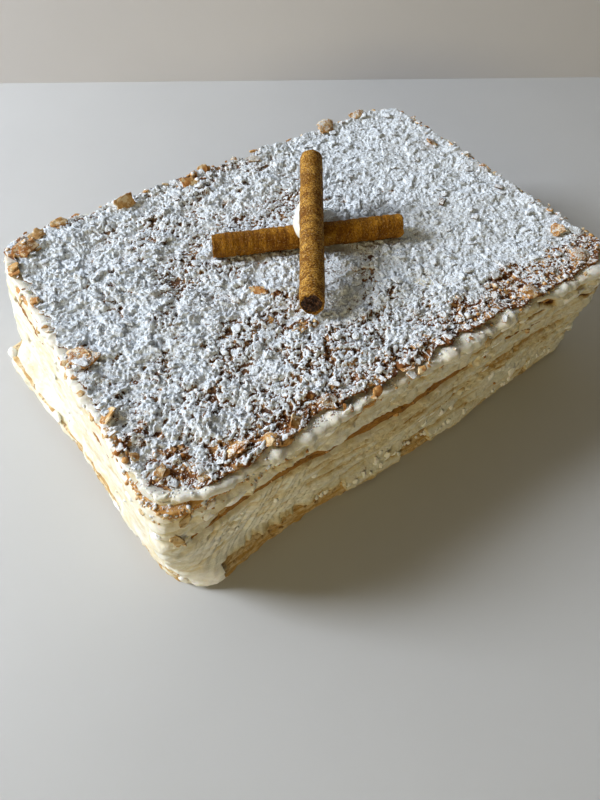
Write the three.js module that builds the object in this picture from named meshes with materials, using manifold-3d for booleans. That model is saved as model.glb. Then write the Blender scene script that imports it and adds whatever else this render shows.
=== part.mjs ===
// A whole mille-feuille cake. Four sheets of baked puff pastry carry three thick fillings of cream,
// which also fill out the sides. A thin cap of cream on the top sheet holds a topping of pastry
// crumbs under icing sugar. On the topping lie two crossed wafer rolls with chocolate inside, the
// upper one propped on the lower one and on a dollop of cream. Millimetres, +Z up, standing on z = 0.

import * as THREE from 'three';
import { mergeVertices } from 'three/addons/utils/BufferGeometryUtils.js';
import Module from 'manifold-3d';

const wasm = await Module();
wasm.setup();

// ---- Driving dimensions ----

const gap = 0.3; // left between neighbouring pieces
const topPlane = 62.5; // mean height of the crumbs

// The cake's four corners from above, counterclockwise from the near left one: where the sides
// would meet, and how far the rounding reaches along them. The bottom sheet sticks out on the left,
// and the wall leans in from its foot to the top.
const sheetCorners = [[-125, -95, 26], [126, -87, 15], [127, 90, 15], [-146, 93, 16]];
const footCorners = [[-123, -92, 22], [124, -86, 15], [125, 89, 15], [-136, 91, 14]];
const topCorners = [[-120, -86, 18], [122, -86, 16], [122, 88.5, 17], [-121, 89.5, 11]];
const footLevel = 10; // where the wall rises from the bottom sheet

// The layers from the bottom up. Each fills the height from `from` to the next one's `from`.
// `wave` is how far its upper side swells at the rim, `reach` how far its edge stands off the wall.
const layers = [
  { name: 'pastry_bottom', kind: 'base', from: 0, wave: 0.6, reach: 0 },
  { name: 'cream_lower', kind: 'cream', from: footLevel, wave: 0.9, reach: 0 },
  { name: 'pastry_lower', kind: 'sheet', from: 26.7, wave: 0.9, reach: -0.4 },
  { name: 'cream_middle', kind: 'cream', from: 29.4, wave: 0.9, reach: 0.4 },
  { name: 'pastry_upper', kind: 'sheet', from: 42.9, wave: 0.9, reach: 0.6 },
  { name: 'cream_upper', kind: 'cream', from: 45.9, wave: 0.6, reach: 0 },
  { name: 'pastry_top', kind: 'sheet', from: 55.6, wave: 0.2, reach: 0.9 },
  { name: 'cream_cap', kind: 'cap', from: 58.8, wave: 0, reach: 0.3 },
];
const toppingLevel = 60; // underside of the crumb topping

// Side profile of each kind of layer, from its lower to its upper side: a share of its height and
// how far the edge stands out there. `rough` is the random part of it.
const profiles = {
  base: { steps: [[0, -1.6], [0.22, 0], [0.55, -0.9], [0.8, -1.2], [1, -3]], rough: 0.7 },
  sheet: { steps: [[0, -0.5], [0.35, 0.6], [0.6, -0.4], [1, 0.3]], rough: 0.9 },
  cream: { steps: [[0, 0.3], [0.2, 1.2], [0.5, 1.7], [0.8, 1.2], [1, 0.3]], rough: 0.4 },
  cap: { steps: [[0, 0], [0.5, 0.9], [1, 0.2]], rough: 0.5 },
};
const edgeSwing = 0.75; // slow in and out waving of every edge
const waveTurns = [2, 3, 5, 7, 11, 16]; // waves that fit round the cake
const stationStep = 9; // distance between stations along the sides
const cornerSteps = 5; // stations round a corner

// The topping: a sheet of crumbs on a grid, hollowed a little round the middle and raised at the rim.
const crumbs = { columns: 44, rows: 31, shift: 1.4, grain: 0.6 };
const lumps = { height: 1.8, share: 0.14 };
const pits = { depth: 1.4, share: 0.16 };
const thinnest = 0.9; // from the underside's level to the deepest pit
const rim = { rise: 0.6, overhang: 1.2 };
const hollow = { depth: 1.3, spread: 50 };

// Flakes of pastry that stick out of the topping: place of the middle, size, turn and tilt.
const flakes = [
  { at: [-57, 82.5, 64.2], size: [14, 7, 1.1], turn: 12, tilt: 52 },
  { at: [-22, 82, 63.2], size: [13, 8, 1.4], turn: -10, tilt: 28 },
  { at: [72, 87, 63.8], size: [17, 7, 2.2], turn: 3, tilt: 20 },
  { at: [96, 88, 63.4], size: [12, 6, 1.8], turn: -12, tilt: 26 },
  { at: [-113.5, -5.5, 63], size: [15, 6, 1.2], turn: 58, tilt: -24 },
  { at: [-115, -38.5, 63.2], size: [12, 5, 1.2], turn: 70, tilt: 34 },
  { at: [-60.5, -80, 63.4], size: [9, 9, 2], turn: 20, tilt: 38 },
  { at: [-82, -79, 63], size: [12, 6, 1.2], turn: 6, tilt: -20 },
  { at: [-33, -79, 63], size: [14, 6, 1.3], turn: -8, tilt: -22 },
  { at: [104, -74, 63.2], size: [13, 9, 1.6], turn: -24, tilt: 18 },
  { at: [110, -55, 63.3], size: [10, 7, 1.4], turn: 76, tilt: -20 },
  { at: [112, 40, 63.1], size: [11, 6, 1.2], turn: 84, tilt: 24 },
  { at: [18, 81.5, 63], size: [10, 6, 1.2], turn: -14, tilt: 30 },
  { at: [-111, 74, 63.1], size: [14, 10, 1.4], turn: 38, tilt: 16 },
  { at: [-70, -18, 63], size: [11, 6, 1.1], turn: 16, tilt: 17 },
];

const flakeUneven = 0.1; // share of its size by which a flake's corners stray

// The wafer rolls. Each is a sheet of wafer rolled up, so its outline is a spiral with a step.
const roll = { radius: 5.8, bore: 4, lap: 0.45, step: 0.3, dent: 0.1, ragged: 0.35 };
const rollFacets = { sides: 22, boreSides: 14, steps: 7 };
const lyingRoll = { middle: [3, 5.3], height: 4.2, heading: -24.2, length: 91.8 };
const raisedRoll = { end: [-24.1, -37.9], height: 6.4, heading: 56, tilt: 11.1, length: 87.3 };
const filling = { recess: 1.3, grain: 0.35 };

// The dollop of cream under the raised roll, just behind the lying one.
const dollop = { at: [10.3, 15.2], sink: 1.2, bed: 1.2, radii: [20.5, 7.9, 14], ripple: 0.4, fold: 2.5 };
const dollopFacets = { sides: 20, rings: 12 };

const colours = {
  pastry: '#b98a4e',
  cream: '#f1ead3',
  crumbs: '#e4e4e0',
  wafer: '#b07d3a',
  chocolate: '#2a1710',
};

// ---- Helpers ----

// Repeatable random numbers from 0 to 1 (the mulberry32 generator).
function randomSource(seed) {
  let state = seed;
  return () => {
    state = (state + 0x6d2b79f5) | 0;
    let mixed = Math.imul(state ^ (state >>> 15), 1 | state);
    mixed = (mixed + Math.imul(mixed ^ (mixed >>> 7), 61 | mixed)) ^ mixed;
    return ((mixed ^ (mixed >>> 14)) >>> 0) / 4294967296;
  };
}

const random = randomSource(1867);
const spread = (size) => (2 * random() - 1) * size;
const degrees = THREE.MathUtils.degToRad;
const lerp = THREE.MathUtils.lerp;

// A rounded outline through four corners.
function roundedOutline(corners) {
  const shape = new THREE.Shape();
  corners.forEach((corner, index) => {
    const here = new THREE.Vector2(corner[0], corner[1]);
    const towards = ([x, y]) => new THREE.Vector2(x, y).sub(here).setLength(corner[2]).add(here);
    const start = towards(corners.at(index - 1));
    const end = towards(corners[(index + 1) % corners.length]);
    if (index === 0) shape.moveTo(start.x, start.y);
    else shape.lineTo(start.x, start.y);
    shape.quadraticCurveTo(here.x, here.y, end.x, end.y);
  });
  shape.closePath();
  return shape;
}

// Corners a share of the way from one set to another.
function blendCorners(from, to, share) {
  return from.map((corner, index) => corner.map((value, part) => lerp(value, to[index][part], share)));
}

// How far an outline reaches from the middle in a direction.
function reachOf(outline, direction) {
  for (let index = 0; index < outline.length; index += 1) {
    const start = outline[index];
    const end = outline[(index + 1) % outline.length];
    const startSide = start.cross(direction);
    const endSide = end.cross(direction);
    if (startSide * endSide > 0 || startSide === endSide) continue;
    const hit = start.clone().lerp(end, startSide / (startSide - endSide));
    if (hit.dot(direction) > 0) return hit.length();
  }
  throw new Error('the outline does not surround the middle');
}

// A closed solid from rings of points, listed from the bottom up and counterclockwise from above,
// closed at both ends by a fan round a middle point.
function ringSolid(rings, lowerMiddle, upperMiddle) {
  const count = rings[0].length;
  const points = [...rings.flat(), lowerMiddle, upperMiddle];
  const faces = [];
  const lowest = rings.length * count;
  for (let k = 0; k < count; k += 1) {
    const next = (k + 1) % count;
    for (let ring = 0; ring < rings.length - 1; ring += 1) {
      const below = ring * count;
      const above = below + count;
      faces.push(below + k, below + next, above + next, below + k, above + next, above + k);
    }
    const top = (rings.length - 1) * count;
    faces.push(lowest, next, k, lowest + 1, top + k, top + next);
  }
  return indexedGeometry(points, faces);
}

function indexedGeometry(points, faces) {
  const geometry = new THREE.BufferGeometry().setFromPoints(points);
  geometry.setIndex(faces);
  return geometry;
}

// The same geometry with its shared corners joined and nothing but positions left.
function welded(geometry) {
  const bare = geometry.clone();
  bare.deleteAttribute('normal');
  bare.deleteAttribute('uv');
  return mergeVertices(bare, 1e-4);
}

// Moves every vertex of a geometry by a function that changes the vector it is given.
function displace(geometry, change) {
  const positions = geometry.getAttribute('position');
  const point = new THREE.Vector3();
  for (let index = 0; index < positions.count; index += 1) {
    point.fromBufferAttribute(positions, index);
    change(point);
    positions.setXYZ(index, point.x, point.y, point.z);
  }
  return geometry;
}

function toManifold(geometry) {
  const solid = welded(geometry);
  return new wasm.Manifold(new wasm.Mesh({
    numProp: 3,
    vertProperties: new Float32Array(solid.getAttribute('position').array),
    triVerts: new Uint32Array(solid.getIndex().array),
  }));
}

// A geometry from the largest body of a solid. The scraps that a cut leaves loose are dropped.
function fromManifold(solid) {
  const bodies = solid.decompose().sort((one, other) => other.volume() - one.volume());
  const mesh = bodies[0].getMesh();
  const geometry = new THREE.BufferGeometry();
  geometry.setAttribute('position', new THREE.BufferAttribute(new Float32Array(mesh.vertProperties), 3));
  geometry.setIndex(new THREE.BufferAttribute(new Uint32Array(mesh.triVerts), 1));
  return geometry;
}

// A block that fills everything below a height, for cutting a level underside.
function spaceBelow(height) {
  const size = 3 * Math.max(...sheetCorners.flat());
  return toManifold(new THREE.BoxGeometry(size, size, size).translate(0, 0, height - size / 2));
}

function pieceMesh(name, geometry, colour, roughness) {
  geometry.computeVertexNormals();
  const material = new THREE.MeshStandardMaterial({ color: colour, roughness, metalness: 0 });
  const mesh = new THREE.Mesh(geometry, material);
  mesh.name = name;
  return mesh;
}

// ---- Sheets and creams ----

// Stations are directions from the middle, shared by every layer, so that the upper side of one
// layer and the lower side of the next stay exactly parallel, also where they swell.
const topOutline = roundedOutline(topCorners);
const stations = topOutline.curves.flatMap((curve) => {
  const steps = curve.isLineCurve ? Math.round(curve.getLength() / stationStep) : cornerSteps;
  return curve.getPoints(steps).slice(0, -1);
}).map((point) => point.normalize());

// The reach of a rounded outline at every station.
function reaches(corners) {
  const outline = roundedOutline(corners).getPoints(cornerSteps + 1);
  return stations.map((direction) => reachOf(outline, direction));
}

// Smooth random waves round the cake, one value for each station.
function waviness(size) {
  const waves = waveTurns.map((turns) => ({ turns, phase: random() * Math.PI * 2 }));
  return stations.map((_, k) => {
    const angle = (k / stations.length) * Math.PI * 2;
    const sum = waves.reduce((total, wave) => total + Math.sin(wave.turns * angle + wave.phase), 0);
    return (size * sum) / Math.sqrt(waves.length);
  });
}

const topReaches = reaches(topCorners);

// The face between two layers: its height at a station and a distance from the middle.
function interfaceAt(level, wave) {
  const rises = waviness(wave);
  return (k, distance) => level + (rises[k] * distance) / topReaches[k];
}

// The corners of the wall at a height.
function wallCorners(height) {
  const share = THREE.MathUtils.clamp((height - footLevel) / (topPlane - footLevel), 0, 1);
  return blendCorners(footCorners, topCorners, share);
}

// A layer between two faces. Half a gap is left at each face, but the bottom sheet stands on z = 0.
function layerSolid(layer, lowerFace, upperFace) {
  const profile = profiles[layer.kind];
  const swing = waviness(edgeSwing);
  const lower = (k, distance) => lowerFace(k, distance) + (layer.from > 0 ? gap / 2 : 0);
  const upper = (k, distance) => upperFace(k, distance) - gap / 2;
  const floor = lower(0, 0);
  const roof = upper(0, 0);
  const edge = reaches(layer.kind === 'base' ? sheetCorners : wallCorners((floor + roof) / 2));
  const rings = profile.steps.map(([share, out]) => stations.map((direction, k) => {
    const distance = edge[k] + layer.reach + out + swing[k] + spread(profile.rough);
    const height = lerp(lower(k, distance), upper(k, distance), share);
    return new THREE.Vector3(direction.x * distance, direction.y * distance, height);
  }));
  return ringSolid(rings, new THREE.Vector3(0, 0, floor), new THREE.Vector3(0, 0, roof));
}

function makeLayers() {
  const levels = [...layers.map((layer) => layer.from), toppingLevel];
  const faces = levels.map((level, index) => interfaceAt(level, index === 0 ? 0 : layers[index - 1].wave));
  return layers.map((layer, index) => {
    const isCream = layer.kind === 'cream' || layer.kind === 'cap';
    const geometry = layerSolid(layer, faces[index], faces[index + 1]);
    return pieceMesh(layer.name, geometry, isCream ? colours.cream : colours.pastry, isCream ? 0.45 : 0.8);
  });
}

// ---- Wafer rolls ----

// The rolled-up wafer along +Z from z = 0: a spiral outline with a step where the sheet ends.
function waferTube(length) {
  const outline = new THREE.Shape();
  for (let side = 0; side < rollFacets.sides; side += 1) {
    const share = side / (rollFacets.sides - 1);
    const angle = share * Math.PI * 2 * (1 - roll.step / rollFacets.sides);
    const radius = roll.radius - roll.lap * (1 - share);
    const method = side === 0 ? 'moveTo' : 'lineTo';
    outline[method](radius * Math.cos(angle), radius * Math.sin(angle));
  }
  outline.closePath();
  const bore = new THREE.Path();
  bore.absarc(0, 0, roll.bore, 0, Math.PI * 2, true);
  outline.holes.push(bore);
  const { steps, boreSides } = rollFacets;
  const options = { depth: length, steps, curveSegments: boreSides, bevelEnabled: false };
  const geometry = welded(new THREE.ExtrudeGeometry(outline, options));
  return displace(geometry, (point) => {
    const distance = Math.hypot(point.x, point.y);
    const outside = distance > (roll.radius + roll.bore) / 2;
    const shrink = outside ? 1 - (random() * roll.dent) / distance : 1;
    const end = point.z < 1e-3 || point.z > length - 1e-3;
    point.set(point.x * shrink, point.y * shrink, point.z + (end ? spread(roll.ragged) : 0));
  });
}

// The chocolate core, a gap clear of the wafer and set back from both ends, with grainy ends.
function fillingCore(length) {
  const radius = roll.bore - gap;
  const height = length - 2 * filling.recess;
  const core = new THREE.CylinderGeometry(radius, radius, height, rollFacets.boreSides, 2);
  core.rotateX(Math.PI / 2);
  core.translate(0, 0, length / 2);
  return displace(welded(core), (point) => {
    const end = Math.abs(point.z - length / 2) > height / 2 - 1e-3;
    point.z += end ? spread(filling.grain) : 0;
  });
}

// A plain round bar a gap wider than the roll, for cutting its bed into what it lies on.
function rollEnvelope(length) {
  const radius = roll.radius + gap;
  const bar = new THREE.CylinderGeometry(radius, radius, length + 4 * gap, rollFacets.sides);
  bar.rotateX(Math.PI / 2);
  bar.translate(0, 0, length / 2);
  return bar;
}

// The placement of a roll: its axis runs from `start` along the heading, rising by the tilt.
function rollPlacement(start, heading, tilt) {
  const turn = degrees(heading);
  const rise = degrees(tilt);
  const level = Math.cos(rise);
  const direction = new THREE.Vector3(level * Math.cos(turn), level * Math.sin(turn), Math.sin(rise));
  const across = new THREE.Vector3(-Math.sin(turn), Math.cos(turn), 0);
  const up = new THREE.Vector3().crossVectors(direction, across);
  const matrix = new THREE.Matrix4().makeBasis(across, up, direction);
  return matrix.setPosition(start);
}

const lyingTurn = degrees(lyingRoll.heading);
const lyingStart = new THREE.Vector3(
  lyingRoll.middle[0] - (Math.cos(lyingTurn) * lyingRoll.length) / 2,
  lyingRoll.middle[1] - (Math.sin(lyingTurn) * lyingRoll.length) / 2,
  topPlane + lyingRoll.height,
);
const raisedStart = new THREE.Vector3(...raisedRoll.end, topPlane + raisedRoll.height);
const rolls = [
  { name: 'lying', length: lyingRoll.length, matrix: rollPlacement(lyingStart, lyingRoll.heading, 0) },
  {
    name: 'raised',
    length: raisedRoll.length,
    matrix: rollPlacement(raisedStart, raisedRoll.heading, raisedRoll.tilt),
  },
];
const rollCutters = rolls.map(({ length, matrix }) => toManifold(rollEnvelope(length).applyMatrix4(matrix)));

function makeRolls() {
  return rolls.map(({ name, length, matrix }) => {
    const placed = new THREE.Group();
    placed.applyMatrix4(matrix);
    placed.add(pieceMesh(`wafer_${name}`, waferTube(length), colours.wafer, 0.75));
    placed.add(pieceMesh(`filling_${name}`, fillingCore(length), colours.chocolate, 0.7));
    return placed;
  });
}

// ---- Crumb topping ----

// The place on the cake's top of a point of a square that runs from -1 to 1 both ways. The square's
// corners are pressed round, and the whole is fitted to the four corners of the top.
function topPlace(u, v) {
  const half = [(topCorners[1][0] - topCorners[0][0]) / 2, (topCorners[3][1] - topCorners[0][1]) / 2];
  const place = [u * half[0], v * half[1]];
  const radius = topCorners[v < 0 ? Number(u > 0) : 3 - Number(u > 0)][2];
  const from = half.map((size) => size - radius);
  const past = place.map((value, axis) => Math.abs(value) - from[axis]);
  if (past[0] > 0 && past[1] > 0) {
    const squeeze = Math.max(...past) / Math.hypot(...past);
    place.forEach((value, axis) => {
      place[axis] = Math.sign(value) * (from[axis] + past[axis] * squeeze);
    });
  }
  const [s, t] = place.map((value, axis) => (value / half[axis] + 1) / 2);
  const side = (a, b, share, axis) => lerp(topCorners[a][axis], topCorners[b][axis], share);
  return new THREE.Vector2(...[0, 1].map((axis) => lerp(side(0, 1, s, axis), side(3, 2, s, axis), t)));
}

// How far one crumb stands out: some are lumps, some are pits, and most lie level.
function crumbRelief() {
  const draw = random();
  const size = 0.5 + random() / 2;
  if (draw < pits.share) return -pits.depth * size;
  return draw > 1 - lumps.share ? lumps.height * size : 0;
}

// The grid of the topping's upper side, with one crumb at each vertex.
function crumbGrid() {
  const points = [];
  for (let row = 0; row <= crumbs.rows; row += 1) {
    for (let column = 0; column <= crumbs.columns; column += 1) {
      const onEdge = row % crumbs.rows === 0 || column % crumbs.columns === 0;
      const place = topPlace((2 * column) / crumbs.columns - 1, (2 * row) / crumbs.rows - 1);
      if (onEdge) place.setLength(place.length() + rim.overhang);
      place.x += spread(crumbs.shift);
      place.y += spread(crumbs.shift);
      const dip = hollow.depth * Math.exp(-place.lengthSq() / hollow.spread ** 2);
      const height = topPlane + spread(crumbs.grain) + (onEdge ? rim.rise : crumbRelief() - dip);
      points.push(new THREE.Vector3(place.x, place.y, Math.max(height, toppingLevel + thinnest)));
    }
  }
  return points;
}

// The grid's edge as vertex numbers, counterclockwise from its near left corner.
function gridEdge() {
  const { columns, rows } = crumbs;
  const width = columns + 1;
  const along = (count, first, step) => Array.from({ length: count }, (_, k) => first + k * step);
  return [
    ...along(columns, 0, 1),
    ...along(rows, columns, width),
    ...along(columns, rows * width + columns, -1),
    ...along(rows, rows * width, -width),
  ];
}

function crumbSheet() {
  const points = crumbGrid();
  const width = crumbs.columns + 1;
  const faces = [];
  for (let row = 0; row < crumbs.rows; row += 1) {
    for (let column = 0; column < crumbs.columns; column += 1) {
      const near = row * width + column;
      const far = near + width;
      if (random() < 0.5) faces.push(near, near + 1, far + 1, near, far + 1, far);
      else faces.push(near, near + 1, far, near + 1, far + 1, far);
    }
  }
  const edge = gridEdge();
  const firstUnder = points.length;
  const underside = toppingLevel + gap / 2;
  edge.forEach((number) => {
    const under = points[number].clone().setZ(0);
    under.setLength(under.length() - rim.overhang);
    points.push(under.setZ(underside));
  });
  const middle = points.push(new THREE.Vector3(0, 0, underside)) - 1;
  edge.forEach((number, k) => {
    const next = (k + 1) % edge.length;
    const under = firstUnder + k;
    const nextUnder = firstUnder + next;
    faces.push(under, nextUnder, edge[next], under, edge[next], number, middle, nextUnder, under);
  });
  return indexedGeometry(points, faces);
}

// A bent scrap of pastry sheet with uneven corners.
function flakeSolid({ at, size, turn, tilt }) {
  const flake = welded(new THREE.BoxGeometry(...size, 2, 1, 1));
  displace(flake, (point) => {
    point.z += size[2] * (1 - (2 * point.x / size[0]) ** 2);
    point.x += spread(size[0] * flakeUneven);
    point.y += spread(size[1] * flakeUneven);
  });
  flake.rotateX(degrees(tilt));
  flake.rotateZ(degrees(turn));
  return toManifold(flake.translate(...at));
}

function makeTopping() {
  const scraps = flakes.map((flake) => flakeSolid(flake).subtract(spaceBelow(toppingLevel + gap / 2)));
  const topping = scraps.reduce((solid, scrap) => solid.add(scrap), toManifold(crumbSheet()));
  const bedded = rollCutters.reduce((solid, cutter) => solid.subtract(cutter), topping);
  return pieceMesh('crumb_topping', fromManifold(bedded.subtract(dollopBed())), colours.crumbs, 0.95);
}

// ---- Dollop ----

// The dollop's round body before it is fitted, grown by a margin.
function dollopBody(margin) {
  const body = new THREE.SphereGeometry(1, dollopFacets.sides, dollopFacets.rings);
  body.rotateX(Math.PI / 2);
  body.scale(...dollop.radii.map((radius) => radius + margin));
  body.rotateY(-degrees(raisedRoll.tilt));
  body.rotateZ(degrees(raisedRoll.heading));
  return body.translate(dollop.at[0], dollop.at[1], topPlane - dollop.sink);
}

// What the topping gives up for the dollop: the space over its floor, wider all round by the gap
// and the ripples.
function dollopBed() {
  const space = toManifold(dollopBody(gap + dollop.ripple));
  return space.subtract(spaceBelow(toppingLevel + dollop.bed - gap));
}

// The dollop with soft folds, cut level on the topping and hollowed under and beside the rolls.
function makeDollop() {
  const rippled = displace(welded(dollopBody(0)), (point) => {
    const fold = Math.sin(point.z * Math.PI / dollop.fold + point.y / dollop.fold);
    point.x += dollop.ripple * fold;
  });
  const bare = toManifold(rippled).subtract(spaceBelow(toppingLevel + dollop.bed));
  const fitted = rollCutters.reduce((solid, cutter) => solid.subtract(cutter), bare);
  return pieceMesh('cream_dollop', fromManifold(fitted), colours.cream, 0.4);
}

// ---- The whole cake ----

const cake = new THREE.Group();
cake.add(...makeLayers(), makeTopping(), ...makeRolls(), makeDollop());

// The origin is the middle of the cake's own box, on the surface it stands on.
const box = new THREE.Box3().setFromObject(cake);
const middle = box.getCenter(new THREE.Vector3());
cake.position.set(-middle.x, -middle.y, -box.min.z);

const model = new THREE.Group();
model.add(cake);

export default model;
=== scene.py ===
# %% [markdown]
# # A whole mille-feuille cake
# Four sheets of puff pastry carry thick cream, the sides are smeared with the same cream, and the top
# is a crust of crumbs under icing sugar with two wafer rolls on it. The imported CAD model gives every
# place and size. This notebook dresses it: each layer is modelled again with the detail of food.

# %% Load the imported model
import itertools
import math

import bpy
import numpy as np
from mathutils import Matrix, Vector
from mathutils.bvhtree import BVHTree


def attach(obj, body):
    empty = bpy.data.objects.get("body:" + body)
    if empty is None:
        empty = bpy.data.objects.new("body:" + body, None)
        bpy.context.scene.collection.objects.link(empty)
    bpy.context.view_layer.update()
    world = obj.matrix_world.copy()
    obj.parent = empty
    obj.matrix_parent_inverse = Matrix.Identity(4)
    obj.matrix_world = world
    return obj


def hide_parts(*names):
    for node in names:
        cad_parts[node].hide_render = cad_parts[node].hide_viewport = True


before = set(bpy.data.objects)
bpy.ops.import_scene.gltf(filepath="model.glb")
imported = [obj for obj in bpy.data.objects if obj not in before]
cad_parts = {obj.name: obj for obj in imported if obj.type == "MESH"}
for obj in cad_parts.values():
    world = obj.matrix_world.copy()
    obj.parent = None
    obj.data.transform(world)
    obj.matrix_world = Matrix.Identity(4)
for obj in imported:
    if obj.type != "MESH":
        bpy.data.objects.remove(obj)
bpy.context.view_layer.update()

# %% [markdown]
# ## Where the camera stands
# The camera looks down on the cake's near left corner. Its place comes first, because the size of
# the smallest crumb worth modelling depends on how near the camera is. A camera looks along its own
# -Z with +Y up, so its matrix has the right, up and backward directions as columns.

# %% Camera
CAMERA_PLACE = Vector((-0.11467, -0.17810, 0.23850))
CAMERA_HEADING, CAMERA_DIP, CAMERA_ROLL = 0.57927, 0.93917, -0.01017

forward = Vector((math.sin(CAMERA_HEADING) * math.cos(CAMERA_DIP),
                  math.cos(CAMERA_HEADING) * math.cos(CAMERA_DIP), -math.sin(CAMERA_DIP)))
level_right = Vector((math.cos(CAMERA_HEADING), -math.sin(CAMERA_HEADING), 0))
level_up = level_right.cross(forward)
right = level_right * math.cos(CAMERA_ROLL) + level_up * math.sin(CAMERA_ROLL)
up = level_up * math.cos(CAMERA_ROLL) - level_right * math.sin(CAMERA_ROLL)

bpy.ops.object.camera_add()
camera = bpy.context.object
camera.name = "camera"
camera.data.lens = 25.425
camera.data.sensor_width = 36
camera.data.clip_start = 0.01
camera.matrix_world = Matrix.Translation(CAMERA_PLACE) @ Matrix((right, up, -forward)).transposed().to_4x4()
bpy.context.scene.camera = camera
TOP_MIDDLE = Vector((0, 0, 0.06))
print("camera is", round((CAMERA_PLACE - TOP_MIDDLE).length * 1000), "mm from the middle of the top")

# %% [markdown]
# ## Working in cake millimetres
# Shapes are worked out in millimetres round the middle of the cake's layers, which stands a little
# beside the origin because the bottom sheet sticks out on the left. Two helpers carry the points of
# a mesh into these units and back, so that every object still sits at the origin in metres.

# %% Read and write a mesh in cake millimetres
CAKE_MIDDLE = np.array([8.194, 0.880, 0.0])


def corners(piece):
    """The points of a mesh as they stand, one row each."""
    flat = np.empty(len(piece.data.vertices) * 3)
    piece.data.vertices.foreach_get("co", flat)
    return flat.reshape(-1, 3)


def read(piece):
    return corners(piece) * 1000 - CAKE_MIDDLE


def write(piece, points):
    piece.data.vertices.foreach_set("co", ((points + CAKE_MIDDLE) / 1000).ravel())
    piece.data.update()


def note(piece, name, values):
    """Keeps one number for each vertex, which a material reads as an attribute."""
    layer = piece.data.attributes.get(name) or piece.data.attributes.new(name, "FLOAT", "POINT")
    layer.data.foreach_set("value", np.broadcast_to(values, len(piece.data.vertices)).astype(np.float32))


def fresh(add, **settings):
    """Adds a primitive with nothing else selected, and gives it back."""
    bpy.ops.object.select_all(action="DESELECT")
    add(**settings)
    return bpy.context.object


def choose(piece):
    """Selects one piece alone and makes it the active one."""
    bpy.ops.object.select_all(action="DESELECT")
    piece.select_set(True)
    bpy.context.view_layer.objects.active = piece


def grid(columns, rows, size=2):
    return fresh(bpy.ops.mesh.primitive_grid_add, x_subdivisions=columns, y_subdivisions=rows, size=size)


def from_points(points, faces):
    """A new piece from points in cake millimetres and the faces between them."""
    mesh = bpy.data.meshes.new("loose")
    mesh.from_pydata(((points + CAKE_MIDDLE) / 1000).tolist(), [], faces)
    piece = bpy.data.objects.new("loose", mesh)
    bpy.context.scene.collection.objects.link(piece)
    return piece


def edit(piece, *steps):
    """Runs edit-mode operators on the whole mesh of one piece."""
    choose(piece)
    bpy.ops.object.mode_set(mode="EDIT")
    bpy.ops.mesh.select_all(action="SELECT")
    for operator, settings in steps:
        operator(**settings)
    bpy.ops.object.mode_set(mode="OBJECT")


def apply_modifier(piece, kind, **settings):
    """Puts one modifier on a piece and applies it."""
    modifier = piece.modifiers.new(kind.lower(), kind)
    for name, value in settings.items():
        setattr(modifier, name, value)
    choose(piece)
    bpy.ops.object.modifier_apply(modifier=modifier.name)


def finish(piece, name, material, slot, *nodes):
    """Names a piece, gives it its material and hangs it on the cake's body."""
    piece.name = piece.data.name = name
    piece.data.materials.clear()
    piece.data.materials.append(material)
    piece.data.polygons.foreach_set("use_smooth", np.ones(len(piece.data.polygons), bool))
    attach(piece, "root")
    if nodes:
        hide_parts(*nodes)
    triangles = len(piece.data.loops) - 2 * len(piece.data.polygons)
    print(f"{name}: {triangles} triangles")
    return piece

# %% [markdown]
# ## Noise for dough and cream
# Food has no straight lines. Two kinds of noise shape it: soft clouds for swells and smears, and
# scattered cells for things with edges, such as crumbs and the marks of a spatula. Both are worked
# out here with whole-number hashing, so that each run gives the same cake.

# %% Clouds and cells
STIR = np.uint64(0x9E3779B97F4A7C15)
FOLD_BITS, SPARE_BITS, KEPT_BITS = np.uint64(29), np.uint64(11), 53


def chance(cell, seed):
    """A repeatable number from 0 to 1 for each row of whole numbers."""
    mixed = np.full(len(cell), 2 * seed + 1, np.uint64)
    for column in cell.astype(np.int64).astype(np.uint64).T:
        mixed = (mixed ^ column) * STIR
        mixed ^= mixed >> FOLD_BITS
    return (mixed >> SPARE_BITS).astype(float) / 2**KEPT_BITS


def clouds(points, size, seed=0, octaves=1):
    """Soft noise from about -1 to 1, with blobs of that size in millimetres."""
    total, weight = 0.0, 1.0
    for octave in range(octaves):
        spot = points / size * 2**octave
        cell = np.floor(spot)
        ease = spot - cell
        ease = ease * ease * (3 - 2 * ease)
        value = 0.0
        for corner in itertools.product((0, 1), repeat=points.shape[1]):
            share = np.prod(np.where(corner, ease, 1 - ease), axis=1)
            value = value + share * chance(cell + corner, seed + 31 * octave)
        total = total + weight * (2 * value - 1)
        weight /= 2
    return total


def sway(points, size, seed, octaves=1):
    """Clouds of their own for x and for y."""
    return np.column_stack([clouds(points, size, seed, octaves), clouds(points, size, seed + 1, octaves)])


FAR = 9.0    # farther than any seed can be, in cells


def cells(points, size, seed=0):
    """Scattered seeds, one for each cell of a grid. Gives the distance to the nearest one, how much
    farther the second is (both in cells), a number of its own, and the way from it in millimetres."""
    spot = points / size
    home = np.floor(spot)
    near = np.full(len(points), FAR)
    second = near.copy()
    own = np.zeros(len(points))
    way = np.zeros_like(spot)
    for step in itertools.product((-1, 0, 1), repeat=points.shape[1]):
        cell = home + step
        jitter = np.stack([chance(cell, seed + 7 * axis + 5) for axis in range(points.shape[1])], axis=1)
        apart = spot - cell - jitter
        distance = np.linalg.norm(apart, axis=1)
        closer = distance < near
        second = np.where(closer, near, np.minimum(second, distance))
        own = np.where(closer, chance(cell, seed), own)
        way = np.where(closer[:, None], apart * size, way)
        near = np.minimum(near, distance)
    return near, second - near, own, way


def smooth(low, high, value):
    """0 below low, 1 above high, and an even ease between them."""
    share = np.clip((value - low) / (high - low), 0, 1)
    return share * share * (3 - 2 * share)


def line_distance(points, start, end):
    """How far points are from a line between two places."""
    start, end = np.array(start, float), np.array(end, float)
    way = end - start
    share = np.clip(((points - start) @ way) / (way @ way), 0, 1)
    return np.linalg.norm(points - start - share[:, None] * way, axis=1)


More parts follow.
